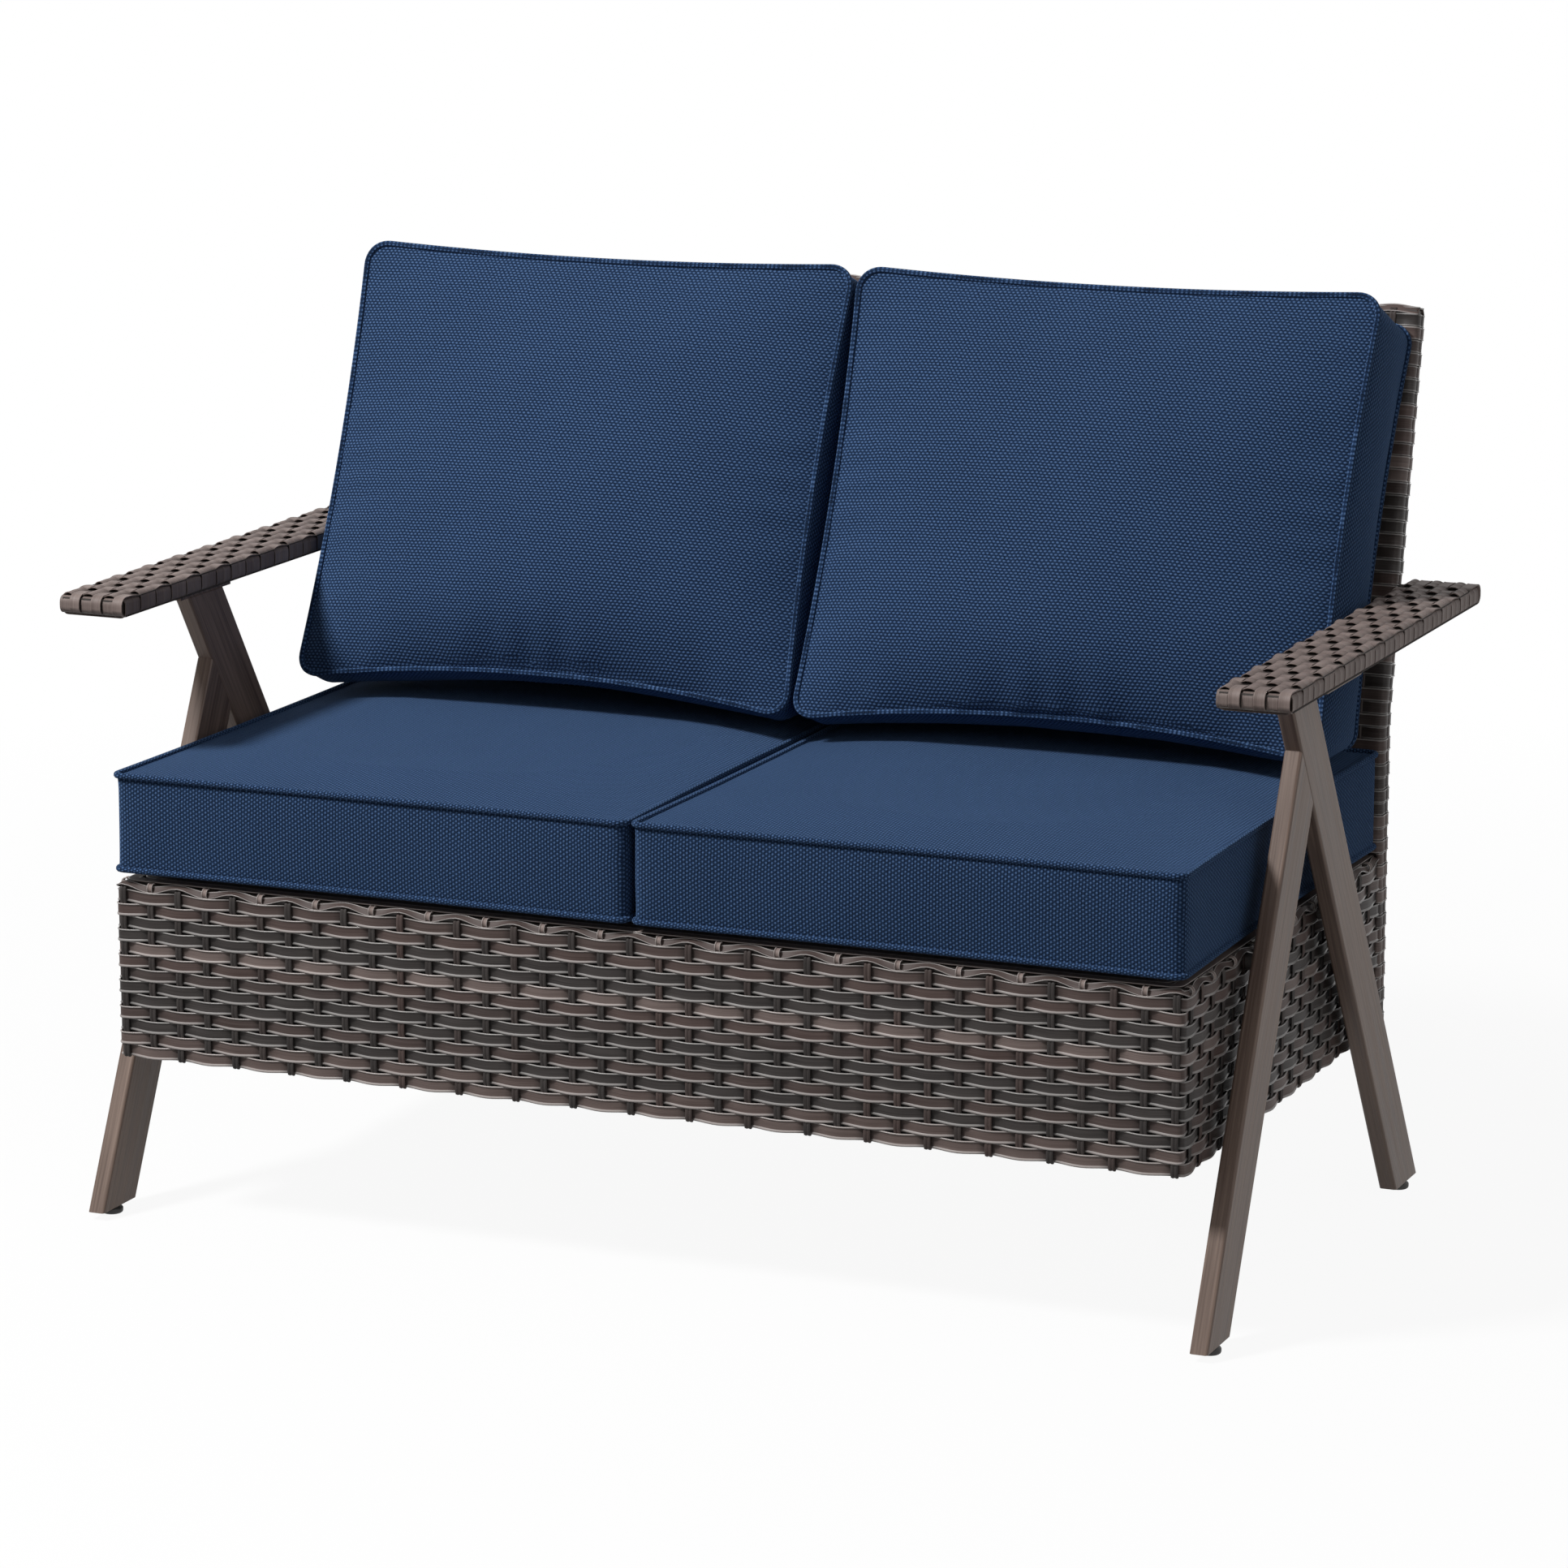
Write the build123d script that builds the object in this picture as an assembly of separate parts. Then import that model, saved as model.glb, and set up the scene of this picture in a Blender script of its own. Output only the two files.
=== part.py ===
from build123d import *

import math
import os

# Patio loveseat: a steel frame with woven resin panels, splayed side legs and four loose cushions.
# Millimetres, +Z up, -Y is the front. The origin is on the floor, under the middle of the seat.

# Driving dimensions of the seat
cushion_width = 559.0
seat_width = 2 * cushion_width
seat_depth = 590.0
box_floor_gap = 168.0
box_height = 180.0
foot_reach = 14.0

# Back panel, upright at the bottom and then bent backwards
panel_overhang = 1.0
panel_width = seat_width + 2 * panel_overhang
panel_thickness = 28.0
panel_bend_rise = 142.0
panel_bend_z = box_floor_gap + box_height + panel_bend_rise
panel_upper_length = 412.0
panel_lean = 12.4
panel_skin = 4.0

# Arms
arm_width = 72.0
arm_rear_reach = 62.0
arm_thickness = 21.0
arm_rise = 273.0
arm_top_z = box_floor_gap + box_height + arm_rise
arm_gap = 6.0
arm_setback = 45.0
arm_skin = 3.0
arm_edge_radius = 8.0

# Side legs, flat steel tube
leg_depth = 60.0
leg_thickness = 18.0
leg_wall = 1.5
leg_corner = 3.0
leg_gap = 12.0
rear_foot_inset = 18.0
rear_rake = 33.0
front_rake = 25.6
plate_thickness = 3.0
plate_width = 60.0
plate_length = 104.0

# Square tube of the seat box and the back panel
rail_side = 20.0
rail_wall = 1.2

# Woven layer
layer = 6.0
layer_gap = 0.3
strand_thickness = 1.4
strand_height = 12.3
strand_pitch = 13.0
stake_thickness = 1.6
stake_width = 7.0
stake_pitch = 29.4
weave_gap = 0.2
binding_top = 7.5
binding_bottom = 3.5
corner_radius = 14.0
corner_wall = 3.0
row_groove = 1.0
edge_wrap = 27.0

# Deck
slat_thickness = 3.0
slat_width = 40.0
slat_pitch = 76.0

# Feet
glide_height = 8.0
glide_radius = 11.0
plug_length = 24.0
plug_gap = 0.2

# Fasteners
bolt_radius = 4.0
bolt_gap = 0.2
bolt_head = 13.0
bolt_head_height = 5.0
spacer_radius = 8.0
shank_sides = 8
nut_width = 13.0
nut_height = 6.0
bolt_grip = 12.0
screw_radius = 3.0
screw_head = 10.0
screw_head_height = 4.0
screw_spacing = 78.0

# Cushions
soft_gap = 0.3
wrap_thickness = 12.0
foam_gap = 0.3
seat_cushion_thickness = 98.0
seat_low_crown = 6.0
seat_crown = 8.0
seat_corner = 16.0
seat_nose = 9.0
back_cushion_height = 479.0
back_cushion_thickness = 118.0
back_cushion_lean = 22.5
back_cushion_lift = 17.0
back_crown = 20.0
back_rear_crown = 5.0
back_corner = 30.0
draw_in = 4.0
end_crown_share = 1.2

overrun = 5.0

# Heights and places that follow from the sizes above
lean = math.radians(panel_lean)
box_top = box_floor_gap + box_height
front_y = -(foot_reach + seat_depth + panel_thickness * math.cos(lean)
            + panel_upper_length * math.sin(lean)) / 2 + foot_reach
panel_y = front_y + seat_depth
inset = layer + layer_gap
upper_rail_z = box_top - slat_thickness - rail_side / 2
lower_rail_z = box_floor_gap + binding_bottom + rail_side / 2
box_half = seat_width / 2
rail_half = box_half - inset
rear_rail_y = panel_y + panel_skin - rail_side / 2
front_rail_y = front_y + inset + rail_side / 2
leg_x = box_half + leg_gap + leg_thickness / 2
half_panel = panel_width / 2
arm_inner_x = half_panel + arm_gap
arm_x = arm_inner_x + arm_width / 2
arm_length = seat_depth + arm_rear_reach - arm_setback
arm_y = front_y + arm_setback + arm_length / 2
rear_foot_y = seat_depth - rear_foot_inset
arm_z = arm_top_z - arm_thickness / 2
plate_z = arm_top_z - arm_thickness - plate_thickness / 2
leg_top_z = plate_z - plate_thickness / 2
post_x = half_panel - panel_skin - rail_side / 2
sides = {"left": -1, "right": 1}


def add(name, shape):
    """Writes one sub-part to its own STEP file."""
    shape.label = name
    export_step(shape, f"parts/{name}.step")


def group(shapes):
    """Keeps separate solids of like pieces together in one node."""
    return Compound(children=[solid for shape in shapes for solid in shape.solids()])


def tube_x(length, side=rail_side, wall=rail_wall):
    """A square tube along X, centred on the origin."""
    return Box(length, side, side) - Box(length, side - 2 * wall, side - 2 * wall)


def tube_y(length, side=rail_side, wall=rail_wall):
    return Rot(0, 0, 90) * tube_x(length, side, wall)


def tube_z(length, side=rail_side, wall=rail_wall):
    return Rot(0, 90, 0) * tube_x(length, side, wall)


def shank(radius, length, start, direction):
    """A hidden bolt or screw shank, kept to few faces because there are many."""
    section = Plane(origin=start, z_dir=direction) * RegularPolygon(radius, shank_sides)
    return extrude(section, length, dir=direction)


def clear_way(radius, length, start, direction):
    """The cut that a shank passes through, its flats as far out as this radius."""
    section = Plane(origin=start, z_dir=direction) * RegularPolygon(radius, shank_sides, major_radius=False)
    return extrude(section, length, dir=direction)


def rod(radius, length, start, direction):
    """A round bar that starts at a point and runs in a direction."""
    return Plane(origin=start, z_dir=direction) * Cylinder(
        radius, length, align=(Align.CENTER, Align.CENTER, Align.MIN))


def pierced(piece, holes):
    """Cuts from a piece the holes that reach it."""
    for hole in holes:
        if piece.bounding_box().overlaps(hole.bounding_box()):
            piece = piece - hole
    return piece


def hex_bar(across, length, start, direction):
    """A hexagonal bar that starts at a point and runs in a direction."""
    section = Plane(origin=start, z_dir=direction) * RegularPolygon(across / 2, 6, major_radius=False)
    return extrude(section, length, dir=direction)


# Back panel geometry, in the YZ plane

def panel_point(offset, along):
    """A point of the panel's side profile.

    offset is the depth behind the front face, and along is the distance from the bend, up the
    reclined part, or negative down the upright part.
    """
    if along <= 0:
        return (panel_y + offset, panel_bend_z - offset * math.tan(lean / 2) + along)
    return (panel_y + offset * math.cos(lean) + along * math.sin(lean),
            panel_bend_z - offset * math.sin(lean) + along * math.cos(lean))


def panel_foot(offset, z):
    """How far along the profile a height of the upright part lies."""
    return z - panel_bend_z + offset * math.tan(lean / 2)


def panel_prism(points, x_low, x_high):
    """Extrudes a closed outline of the YZ plane across the panel."""
    outline = make_face(Plane.YZ * Polyline(*points, close=True))
    return Pos(x_low, 0, 0) * extrude(outline, x_high - x_low, dir=(1, 0, 0))


def panel_band(near, far, z_low, top, x_low, x_high):
    """A bent slab between two depths of the panel, from a height up to a place on the slope."""
    points = [
        panel_point(near, panel_foot(near, z_low)),
        panel_point(near, 0),
        panel_point(near, top),
        panel_point(far, top),
        panel_point(far, 0),
        panel_point(far, panel_foot(far, z_low)),
    ]
    return panel_prism(points, x_low, x_high)


def slope_block(near, far, low, top, x_low, x_high):
    """A straight block on the reclined part of the panel."""
    points = [panel_point(near, low), panel_point(near, top), panel_point(far, top), panel_point(far, low)]
    return panel_prism(points, x_low, x_high)


def woven_face(shown, hidden, z_low, top, x_low, x_high):
    """A sheet whose shown face has one rounded-looking ridge for each woven row."""
    low = panel_foot(shown, z_low)
    rows = max(1, round((top - low) / strand_pitch))
    step = (top - low) / rows
    groove = row_groove if hidden > shown else -row_groove
    edge = []
    for row in range(rows):
        edge.append(panel_point(shown + groove, low + row * step))
        edge.append(panel_point(shown, low + (row + 0.5) * step))
    edge.append(panel_point(shown + groove, top))
    plain = [panel_point(hidden, top), panel_point(hidden, 0), panel_point(hidden, panel_foot(hidden, z_low))]
    return panel_prism(edge + plain, x_low, x_high)


# Seat box

def box_rails():
    """The eight rails of the seat box, upper and lower on each side."""
    side_start = front_rail_y + rail_side / 2
    side_length = panel_y - side_start
    for level, z in (("upper", upper_rail_z), ("lower", lower_rail_z)):
        across = tube_x(2 * rail_half)
        add(f"box_front_rail_{level}", Pos(0, front_rail_y, z) * across)
        rear = Pos(0, rear_rail_y, z) * tube_x(2 * (rail_half - rail_side))
        add(f"box_rear_rail_{level}", pierced(rear, panel_bolt_holes()))
        for side, sign in sides.items():
            place = Pos(sign * (rail_half - rail_side / 2), side_start + side_length / 2, z)
            rail = place * tube_y(side_length)
            add(f"box_{side}_rail_{level}", pierced(rail, leg_bolt_holes(sign)))


def box_uprights():
    """Short posts between the lower and the upper rails."""
    length = upper_rail_z - lower_rail_z - rail_side
    middle_z = (upper_rail_z + lower_rail_z) / 2
    corner_x = rail_half - rail_side / 2
    rear_corner_y = panel_y - rail_side / 2
    places = [(0, front_rail_y), (0, rear_rail_y)]
    places += [(x, y) for x in (-corner_x, corner_x) for y in (front_rail_y, rear_corner_y)]
    add("box_uprights", group([Pos(x, y, middle_z) * tube_z(length) for x, y in places]))


def deck():
    """The cross rail and the flat slats that carry the cushions."""
    length = rear_rail_y - front_rail_y - rail_side
    middle_y = (rear_rail_y + front_rail_y) / 2
    add("deck_cross_rail", Pos(0, middle_y, upper_rail_z) * tube_y(length))
    room = length - slat_width
    gaps = max(1, int(room / slat_pitch))
    slat = Box(2 * rail_half, slat_width, slat_thickness)
    slat_z = box_top - slat_thickness / 2
    first = middle_y - gaps * slat_pitch / 2
    add("deck_slats", group([Pos(0, first + i * slat_pitch, slat_z) * slat for i in range(gaps + 1)]))


# Woven skirt of the seat box

def strand_profile(length, stakes, phase):
    """Plan outline of one strand that passes in front of every other stake."""
    pitch = length / stakes
    swing = (layer - strand_thickness) / 2
    middle = [(-length / 2, 0)]
    for i in range(stakes):
        outward = -1 if (i + phase) % 2 == 0 else 1
        middle.append((-length / 2 + (i + 0.5) * pitch, outward * swing))
    middle.append((length / 2, 0))
    half = strand_thickness / 2
    near = [(x, y - half) for x, y in middle]
    far = [(x, y + half) for x, y in reversed(middle)]
    return make_face(Polyline(*near, *far, close=True))


def woven_sheet(length):
    """A plain-woven sheet along X: flat strands over and under upright stakes.

    It is centred on Y zero, faces -Y and stands on Z zero.
    """
    stakes = max(2, round(length / stake_pitch))
    pitch = length / stakes
    room = box_height - binding_top - binding_bottom - 2 * weave_gap
    rows = max(1, round(room / strand_pitch))
    row_step = room / rows
    tall = strand_height * row_step / strand_pitch
    first = binding_bottom + weave_gap + (row_step - tall) / 2
    strands = [extrude(strand_profile(length, stakes, phase), tall) for phase in (0, 1)]
    solids = [Pos(0, 0, first + row * row_step) * strands[row % 2] for row in range(rows)]
    stake = Pos(0, 0, binding_bottom + weave_gap + room / 2) * Box(stake_width, stake_thickness, room)
    solids += [Pos(-length / 2 + (i + 0.5) * pitch, 0, 0) * stake for i in range(stakes)]
    return solids


def skirt_corner(sign):
    """The rounded corner between the front and a side of the skirt."""
    ring = Cylinder(corner_radius, box_height) - Cylinder(corner_radius - corner_wall, box_height)
    half = corner_radius / 2
    quarter = Pos(sign * half, -half, 0) * Box(corner_radius, corner_radius, box_height)
    x = sign * (box_half - corner_radius)
    return Pos(x, front_y + corner_radius, box_floor_gap + box_height / 2) * (ring & quarter)


def skirt():
    """Front and side sheets, rounded corners, and the bound top and bottom edges."""
    front_length = seat_width - 2 * corner_radius - 2 * weave_gap
    side_length = seat_depth - corner_radius - 2 * weave_gap
    side_y = front_y + corner_radius + (seat_depth - corner_radius) / 2
    mid = layer / 2
    front_place = Pos(0, front_y + mid, box_floor_gap)
    add("skirt_weave_front", group([front_place * piece for piece in woven_sheet(front_length)]))
    for side, sign in sides.items():
        place = Pos(sign * (box_half - mid), side_y, box_floor_gap) * Rot(0, 0, sign * 90)
        pieces = [pierced(place * piece, spacer_holes(sign)) for piece in woven_sheet(side_length)]
        add(f"skirt_weave_{side}", group(pieces))
        add(f"skirt_corner_{side}", skirt_corner(sign))
    for name, height, z in (("top", binding_top, box_top - binding_top / 2),
                            ("bottom", binding_bottom, box_floor_gap + binding_bottom / 2)):
        bars = [Pos(0, front_y + mid, z) * Box(front_length, layer, height)]
        for sign in sides.values():
            bar = Pos(sign * (box_half - mid), side_y, z) * Box(layer, side_length, height)
            bars.append(pierced(bar, spacer_holes(sign)))
        add(f"skirt_binding_{name}", group(bars))


# Back panel

def back_panel():
    """Bent side posts, cross rails, and the woven sheets and bound edges over them."""
    near = panel_skin
    far = panel_thickness - panel_skin
    top = panel_upper_length
    frame_top = top - panel_skin
    z_low = box_floor_gap
    half = half_panel
    for side, sign in sides.items():
        outer = panel_band(near, far, z_low, frame_top, post_x - rail_side / 2, post_x + rail_side / 2)
        bore = panel_band(near + rail_wall, far - rail_wall, z_low, frame_top,
                          post_x - rail_side / 2 + rail_wall, post_x + rail_side / 2 - rail_wall)
        post = outer - bore
        wrap = panel_band(0, panel_thickness, z_low, top, half - edge_wrap, half)
        wrap -= panel_band(near, far, z_low, frame_top, half - edge_wrap, half - panel_skin)
        if sign < 0:
            post = post.mirror(Plane.YZ)
            wrap = wrap.mirror(Plane.YZ)
        hole = arm_bolt_hole(sign)
        add(f"back_post_{side}", post - hole)
        add(f"back_edge_wrap_{side}", wrap - hole)
    span = post_x - rail_side / 2
    rail_y = panel_y + panel_skin + rail_side / 2
    for name, z in (("lower", lower_rail_z), ("seat", upper_rail_z)):
        rail = Pos(0, rail_y, z) * tube_x(2 * span)
        add(f"back_rail_{name}", pierced(rail, panel_bolt_holes()))
    rail_low = frame_top - rail_side
    rail = slope_block(near, far, rail_low, frame_top, -span, span)
    rail -= slope_block(near + rail_wall, far - rail_wall,
                        rail_low + rail_wall, frame_top - rail_wall, -span, span)
    add("back_rail_top", rail)
    seat_top = upper_rail_z + rail_side / 2
    brace = panel_band(near, far, seat_top, rail_low, -rail_side / 2, rail_side / 2)
    brace -= panel_band(near + rail_wall, far - rail_wall, seat_top, rail_low,
                        -rail_side / 2 + rail_wall, rail_side / 2 - rail_wall)
    add("back_brace", brace)
    edge = half - edge_wrap - weave_gap
    sheet_top = top - edge_wrap - weave_gap
    add("back_weave_front", woven_face(0, near, box_top, sheet_top, -edge, edge))
    add("back_weave_rear", woven_face(panel_thickness, far, z_low, sheet_top, -edge, edge))
    cap = slope_block(0, panel_thickness, top - edge_wrap, top, -edge, edge)
    cap -= slope_block(near, far, top - edge_wrap, frame_top, -edge, edge)
    add("back_top_wrap", cap)


# Arms

def arm(side, sign):
    """A small tube frame wrapped in a woven shell."""
    inner_width = arm_width - 2 * arm_skin
    inner_length = arm_length - 2 * arm_skin
    tube = arm_thickness - 2 * arm_skin
    rail_x = (inner_width - tube) / 2
    cross = inner_width - 2 * tube
    rails = [Pos(x, 0, 0) * tube_y(inner_length, tube) for x in (-rail_x, rail_x)]
    end_y = (inner_length - tube) / 2
    ends = [Pos(0, y, 0) * tube_x(cross, tube) for y in (-end_y, end_y)]
    mounts = [Pos(0, y - arm_y, 0) * Box(cross, tube, tube) for _, y in plate_screw_places(sign)]
    place = Pos(sign * arm_x, arm_y, arm_z)
    holes = [arm_bolt_hole(sign)] + plate_screw_holes(sign)
    add(f"arm_frame_{side}", group([pierced(place * piece, holes) for piece in rails + ends + mounts]))
    section = Plane.XZ * RectangleRounded(arm_width, arm_thickness, arm_edge_radius)
    shell = Pos(0, arm_length / 2, 0) * extrude(section, arm_length)
    shell -= Box(inner_width, inner_length, tube)
    add(f"arm_weave_{side}", pierced(place * shell, holes))


# Side legs

def leg_top_y():
    """Centre of the long leg where it meets the plate under the arm."""
    slope = math.tan(math.radians(rear_rake))
    width = leg_depth / math.cos(math.radians(rear_rake))
    return front_y + rear_foot_y + width / 2 - slope * (leg_top_z - glide_height)


def leg_line(kind):
    """Foot centre and direction of a leg, in the YZ plane."""
    if kind == "rear":
        rake = math.radians(rear_rake)
        width = leg_depth / math.cos(rake)
        return front_y + rear_foot_y + width / 2, (-math.sin(rake), math.cos(rake))
    rake = math.radians(front_rake)
    width = leg_depth / math.cos(rake)
    return front_y - foot_reach + width / 2, (math.sin(rake), math.cos(rake))


def leg_y(kind, z):
    """Centre of a leg at a height."""
    foot, direction = leg_line(kind)
    return foot + (z - glide_height) * direction[0] / direction[1]


def leg_tube(kind, x, wall=0.0):
    """A leg's outer body, or with a wall the space inside it, before its ends are cut."""
    foot, direction = leg_line(kind)
    run = leg_top_z / direction[1] + 2 * leg_depth
    plane = Plane(origin=(x, foot, glide_height), x_dir=(1, 0, 0), z_dir=(0, direction[0], direction[1]))
    if wall > 0:
        section = Rectangle(leg_thickness - 2 * wall, leg_depth - 2 * wall)
    else:
        section = RectangleRounded(leg_thickness, leg_depth, leg_corner)
    return extrude(plane * section, run, both=True)


def between(low, high):
    """A slab of space between two heights, larger than the whole seat."""
    reach = 2 * (seat_width + seat_depth)
    return Pos(0, 0, (low + high) / 2) * Box(reach, reach, high - low)


def rear_leg_front_side():
    """The half space in front of the long leg's front face."""
    foot, direction = leg_line("rear")
    reach = 2 * (seat_width + seat_depth)
    plane = Plane(origin=(0, foot, glide_height), x_dir=(1, 0, 0), z_dir=(0, direction[0], direction[1]))
    return plane * Pos(0, -leg_depth / 2 - reach / 2, 0) * Box(reach, reach, reach)


def side_legs(side, sign):
    """The long rear leg and the short front leg that is welded to its front face."""
    x = sign * leg_x
    room = between(glide_height, leg_top_z)
    holes = leg_bolt_holes(sign)
    for kind in ("rear", "front"):
        leg = leg_tube(kind, x) & room
        leg -= leg_tube(kind, x, leg_wall)
        if kind == "front":
            leg = leg & rear_leg_front_side()
        add(f"leg_{kind}_{side}", pierced(leg, holes))
    plate = Pos(sign * arm_x, leg_top_y(), plate_z) * Box(plate_width, plate_length, plate_thickness)
    add(f"leg_plate_{side}", pierced(plate, plate_screw_holes(sign)))


def feet():
    """Plugs pressed into the tube ends, and the round glides under them."""
    plugs = []
    glides = []
    for sign in sides.values():
        for kind in ("rear", "front"):
            x = sign * leg_x
            inside = leg_tube(kind, x, leg_wall + plug_gap)
            plugs.append(inside & between(glide_height, glide_height + plug_length))
            glides.append(rod(glide_radius, glide_height, (x, leg_line(kind)[0], 0), (0, 0, 1)))
    add("foot_plugs", group(plugs))
    add("foot_glides", group(glides))


# Fasteners

def leg_bolt_places():
    """Where the two legs of a side are bolted to the upper rail of the box, in the YZ plane."""
    return [(leg_y(kind, upper_rail_z), upper_rail_z) for kind in ("rear", "front")]


def leg_bolt_holes(sign):
    start = sign * (rail_half - rail_side - overrun)
    length = rail_side + inset + leg_gap + leg_wall + 2 * overrun
    return [clear_way(bolt_radius + bolt_gap, length, (start, y, z), (sign, 0, 0))
            for y, z in leg_bolt_places()]


def spacer_holes(sign):
    """The square way of each spacer through the woven sides."""
    length = leg_gap + layer + overrun
    width = 2 * (spacer_radius + bolt_gap)
    x = sign * (rail_half + length / 2)
    return [Pos(x, y, z) * Box(length, width, width) for y, z in leg_bolt_places()]


def spacer_tube(length, start, direction):
    """A round tube that keeps two bolted pieces apart."""
    bore = clear_way(bolt_radius + bolt_gap, length, start, direction)
    return rod(spacer_radius, length, start, direction) - bore


def hex_nut(start, direction):
    bore = clear_way(bolt_radius + bolt_gap, nut_height, start, direction)
    return hex_bar(nut_width, nut_height, start, direction) - bore


def leg_fasteners():
    """Bolts from inside the box through spacers into nuts behind the leg's inner wall."""
    bolts = []
    spacers = []
    nuts = []
    leg_inner = box_half + leg_gap
    grip = leg_inner - (rail_half - rail_side) + leg_wall
    for sign in sides.values():
        for y, z in leg_bolt_places():
            head_x = sign * (rail_half - rail_side)
            head = hex_bar(bolt_head, bolt_head_height, (head_x, y, z), (-sign, 0, 0))
            bolts.append(shank(bolt_radius, grip + nut_height, (head_x, y, z), (sign, 0, 0)) + head)
            spacers.append(spacer_tube(leg_inner - rail_half, (sign * rail_half, y, z), (sign, 0, 0)))
            nuts.append(hex_nut((sign * (leg_inner + leg_wall), y, z), (sign, 0, 0)))
    add("leg_bolts", group(bolts))
    add("leg_spacers", group(spacers))
    add("leg_nuts", group(nuts))


def panel_bolt_places():
    """Where the back panel's seat rail is bolted to the upper rear rail of the box."""
    return [(x, upper_rail_z) for x in (-seat_width / 4, seat_width / 4)]


def panel_bolt_holes():
    start = rear_rail_y - rail_side / 2 - overrun
    length = 2 * rail_side + overrun - rail_wall
    return [clear_way(bolt_radius + bolt_gap, length, (x, start, z), (0, 1, 0))
            for x, z in panel_bolt_places()]


def panel_fasteners():
    """Bolts from inside the box, through both rails, into nuts inside the panel's rails."""
    head_y = rear_rail_y - rail_side / 2
    nut_y = rear_rail_y + rail_side / 2 + rail_wall
    bolts = []
    nuts = []
    for x, z in panel_bolt_places():
        head = hex_bar(bolt_head, bolt_head_height, (x, head_y, z), (0, -1, 0))
        bolts.append(shank(bolt_radius, nut_y - head_y + nut_height, (x, head_y, z), (0, 1, 0)) + head)
        nuts.append(hex_nut((x, nut_y, z), (0, 1, 0)))
    add("panel_bolts", group(bolts))
    add("panel_nuts", group(nuts))


def arm_bolt_place(sign):
    """The inner face of the back post, where the bolt that holds the arm's inner rail goes in."""
    along = (arm_z - panel_bend_z) / math.cos(lean)
    y, z = panel_point(panel_thickness / 2, along + panel_thickness / 2 * math.tan(lean))
    return sign * (post_x - rail_side / 2), y, z


def arm_bolt_hole(sign):
    x, y, z = arm_bolt_place(sign)
    start = x - sign * overrun
    length = arm_inner_x + arm_skin + bolt_grip + bolt_gap - abs(start)
    return clear_way(bolt_radius + bolt_gap, length, (start, y, z), (sign, 0, 0))


def arm_fasteners():
    """One bolt and spacer at the back post, and two screws through each leg plate."""
    bolts = []
    spacers = []
    screws = []
    tube = arm_thickness - 2 * arm_skin
    for sign in sides.values():
        x, y, z = arm_bolt_place(sign)
        length = arm_inner_x + arm_skin + bolt_grip - abs(x)
        head = hex_bar(bolt_head, bolt_head_height, (x, y, z), (-sign, 0, 0))
        bolts.append(shank(bolt_radius, length, (x, y, z), (sign, 0, 0)) + head)
        spacers.append(spacer_tube(arm_gap, (sign * half_panel, y, z), (sign, 0, 0)))
        for screw_x, screw_y in plate_screw_places(sign):
            low = plate_z - plate_thickness / 2
            length = plate_thickness + arm_skin + tube / 2
            head = hex_bar(screw_head, screw_head_height, (screw_x, screw_y, low), (0, 0, -1))
            screws.append(shank(screw_radius, length, (screw_x, screw_y, low), (0, 0, 1)) + head)
    add("arm_bolts", group(bolts))
    add("arm_spacers", group(spacers))
    add("arm_screws", group(screws))


def plate_screw_places(sign):
    return [(sign * arm_x, leg_top_y() + y) for y in (-screw_spacing / 2, screw_spacing / 2)]


def plate_screw_holes(sign):
    start = plate_z - plate_thickness / 2 - overrun
    length = overrun + plate_thickness + arm_skin + (arm_thickness - 2 * arm_skin) / 2 + bolt_gap
    return [clear_way(screw_radius + bolt_gap, length, (x, y, start), (0, 0, 1))
            for x, y in plate_screw_places(sign)]


# Cushions

def cushion_outline(width, length, corner):
    """A rectangle with rounded corners whose four sides draw in between them."""
    half_x = width / 2
    half_y = length / 2
    bend = corner * (1 - math.sqrt(0.5))
    ends = [(half_x, half_y - corner), (half_x, -half_y + corner), (half_x - corner, -half_y),
            (-half_x + corner, -half_y), (-half_x, -half_y + corner), (-half_x, half_y - corner),
            (-half_x + corner, half_y), (half_x - corner, half_y)]
    mids = [(half_x - draw_in, 0), (half_x - bend, -half_y + bend), (0, -half_y + draw_in),
            (-half_x + bend, -half_y + bend), (-half_x + draw_in, 0), (-half_x + bend, half_y - bend),
            (0, half_y - draw_in), (half_x - bend, half_y - bend)]
    arcs = [ThreePointArc(ends[i], mids[i], ends[(i + 1) % len(ends)]) for i in range(len(ends))]
    return make_face(Wire(arcs))


def arched_block(width, depth, thickness, low_crown, high_crown):
    """A block along Y whose top and bottom are arched outwards from the seams, at Z zero and the thickness.

    It stands past the cushion's sides, and its arches meet the seams at the width.
    """
    reach = width / 2 + overrun
    drop_share = (2 * reach / width) ** 2 - 1
    low = low_crown * drop_share
    high = thickness - high_crown * drop_share
    outline = [
        ThreePointArc((-reach, low), (0, -low_crown), (reach, low)),
        Line((reach, low), (reach, high)),
        ThreePointArc((reach, high), (0, thickness + high_crown), (-reach, high)),
        Line((-reach, high), (-reach, low)),
    ]
    return extrude(Plane.XZ * make_face(Wire(outline)), depth / 2 + overrun, both=True)


def cushion_body(width, length, thickness, low_crown, high_crown, corner):
    """A box cushion along Z, crowned both ways on its two faces, with its sides drawn in."""
    steep = end_crown_share
    height = low_crown + thickness + high_crown + 2 * overrun
    body = Pos(0, 0, -low_crown - overrun) * extrude(cushion_outline(width, length, corner), height)
    body &= arched_block(width, length, thickness, low_crown, high_crown)
    body &= Rot(0, 0, 90) * arched_block(length, width, thickness, steep * low_crown, steep * high_crown)
    return body


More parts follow.
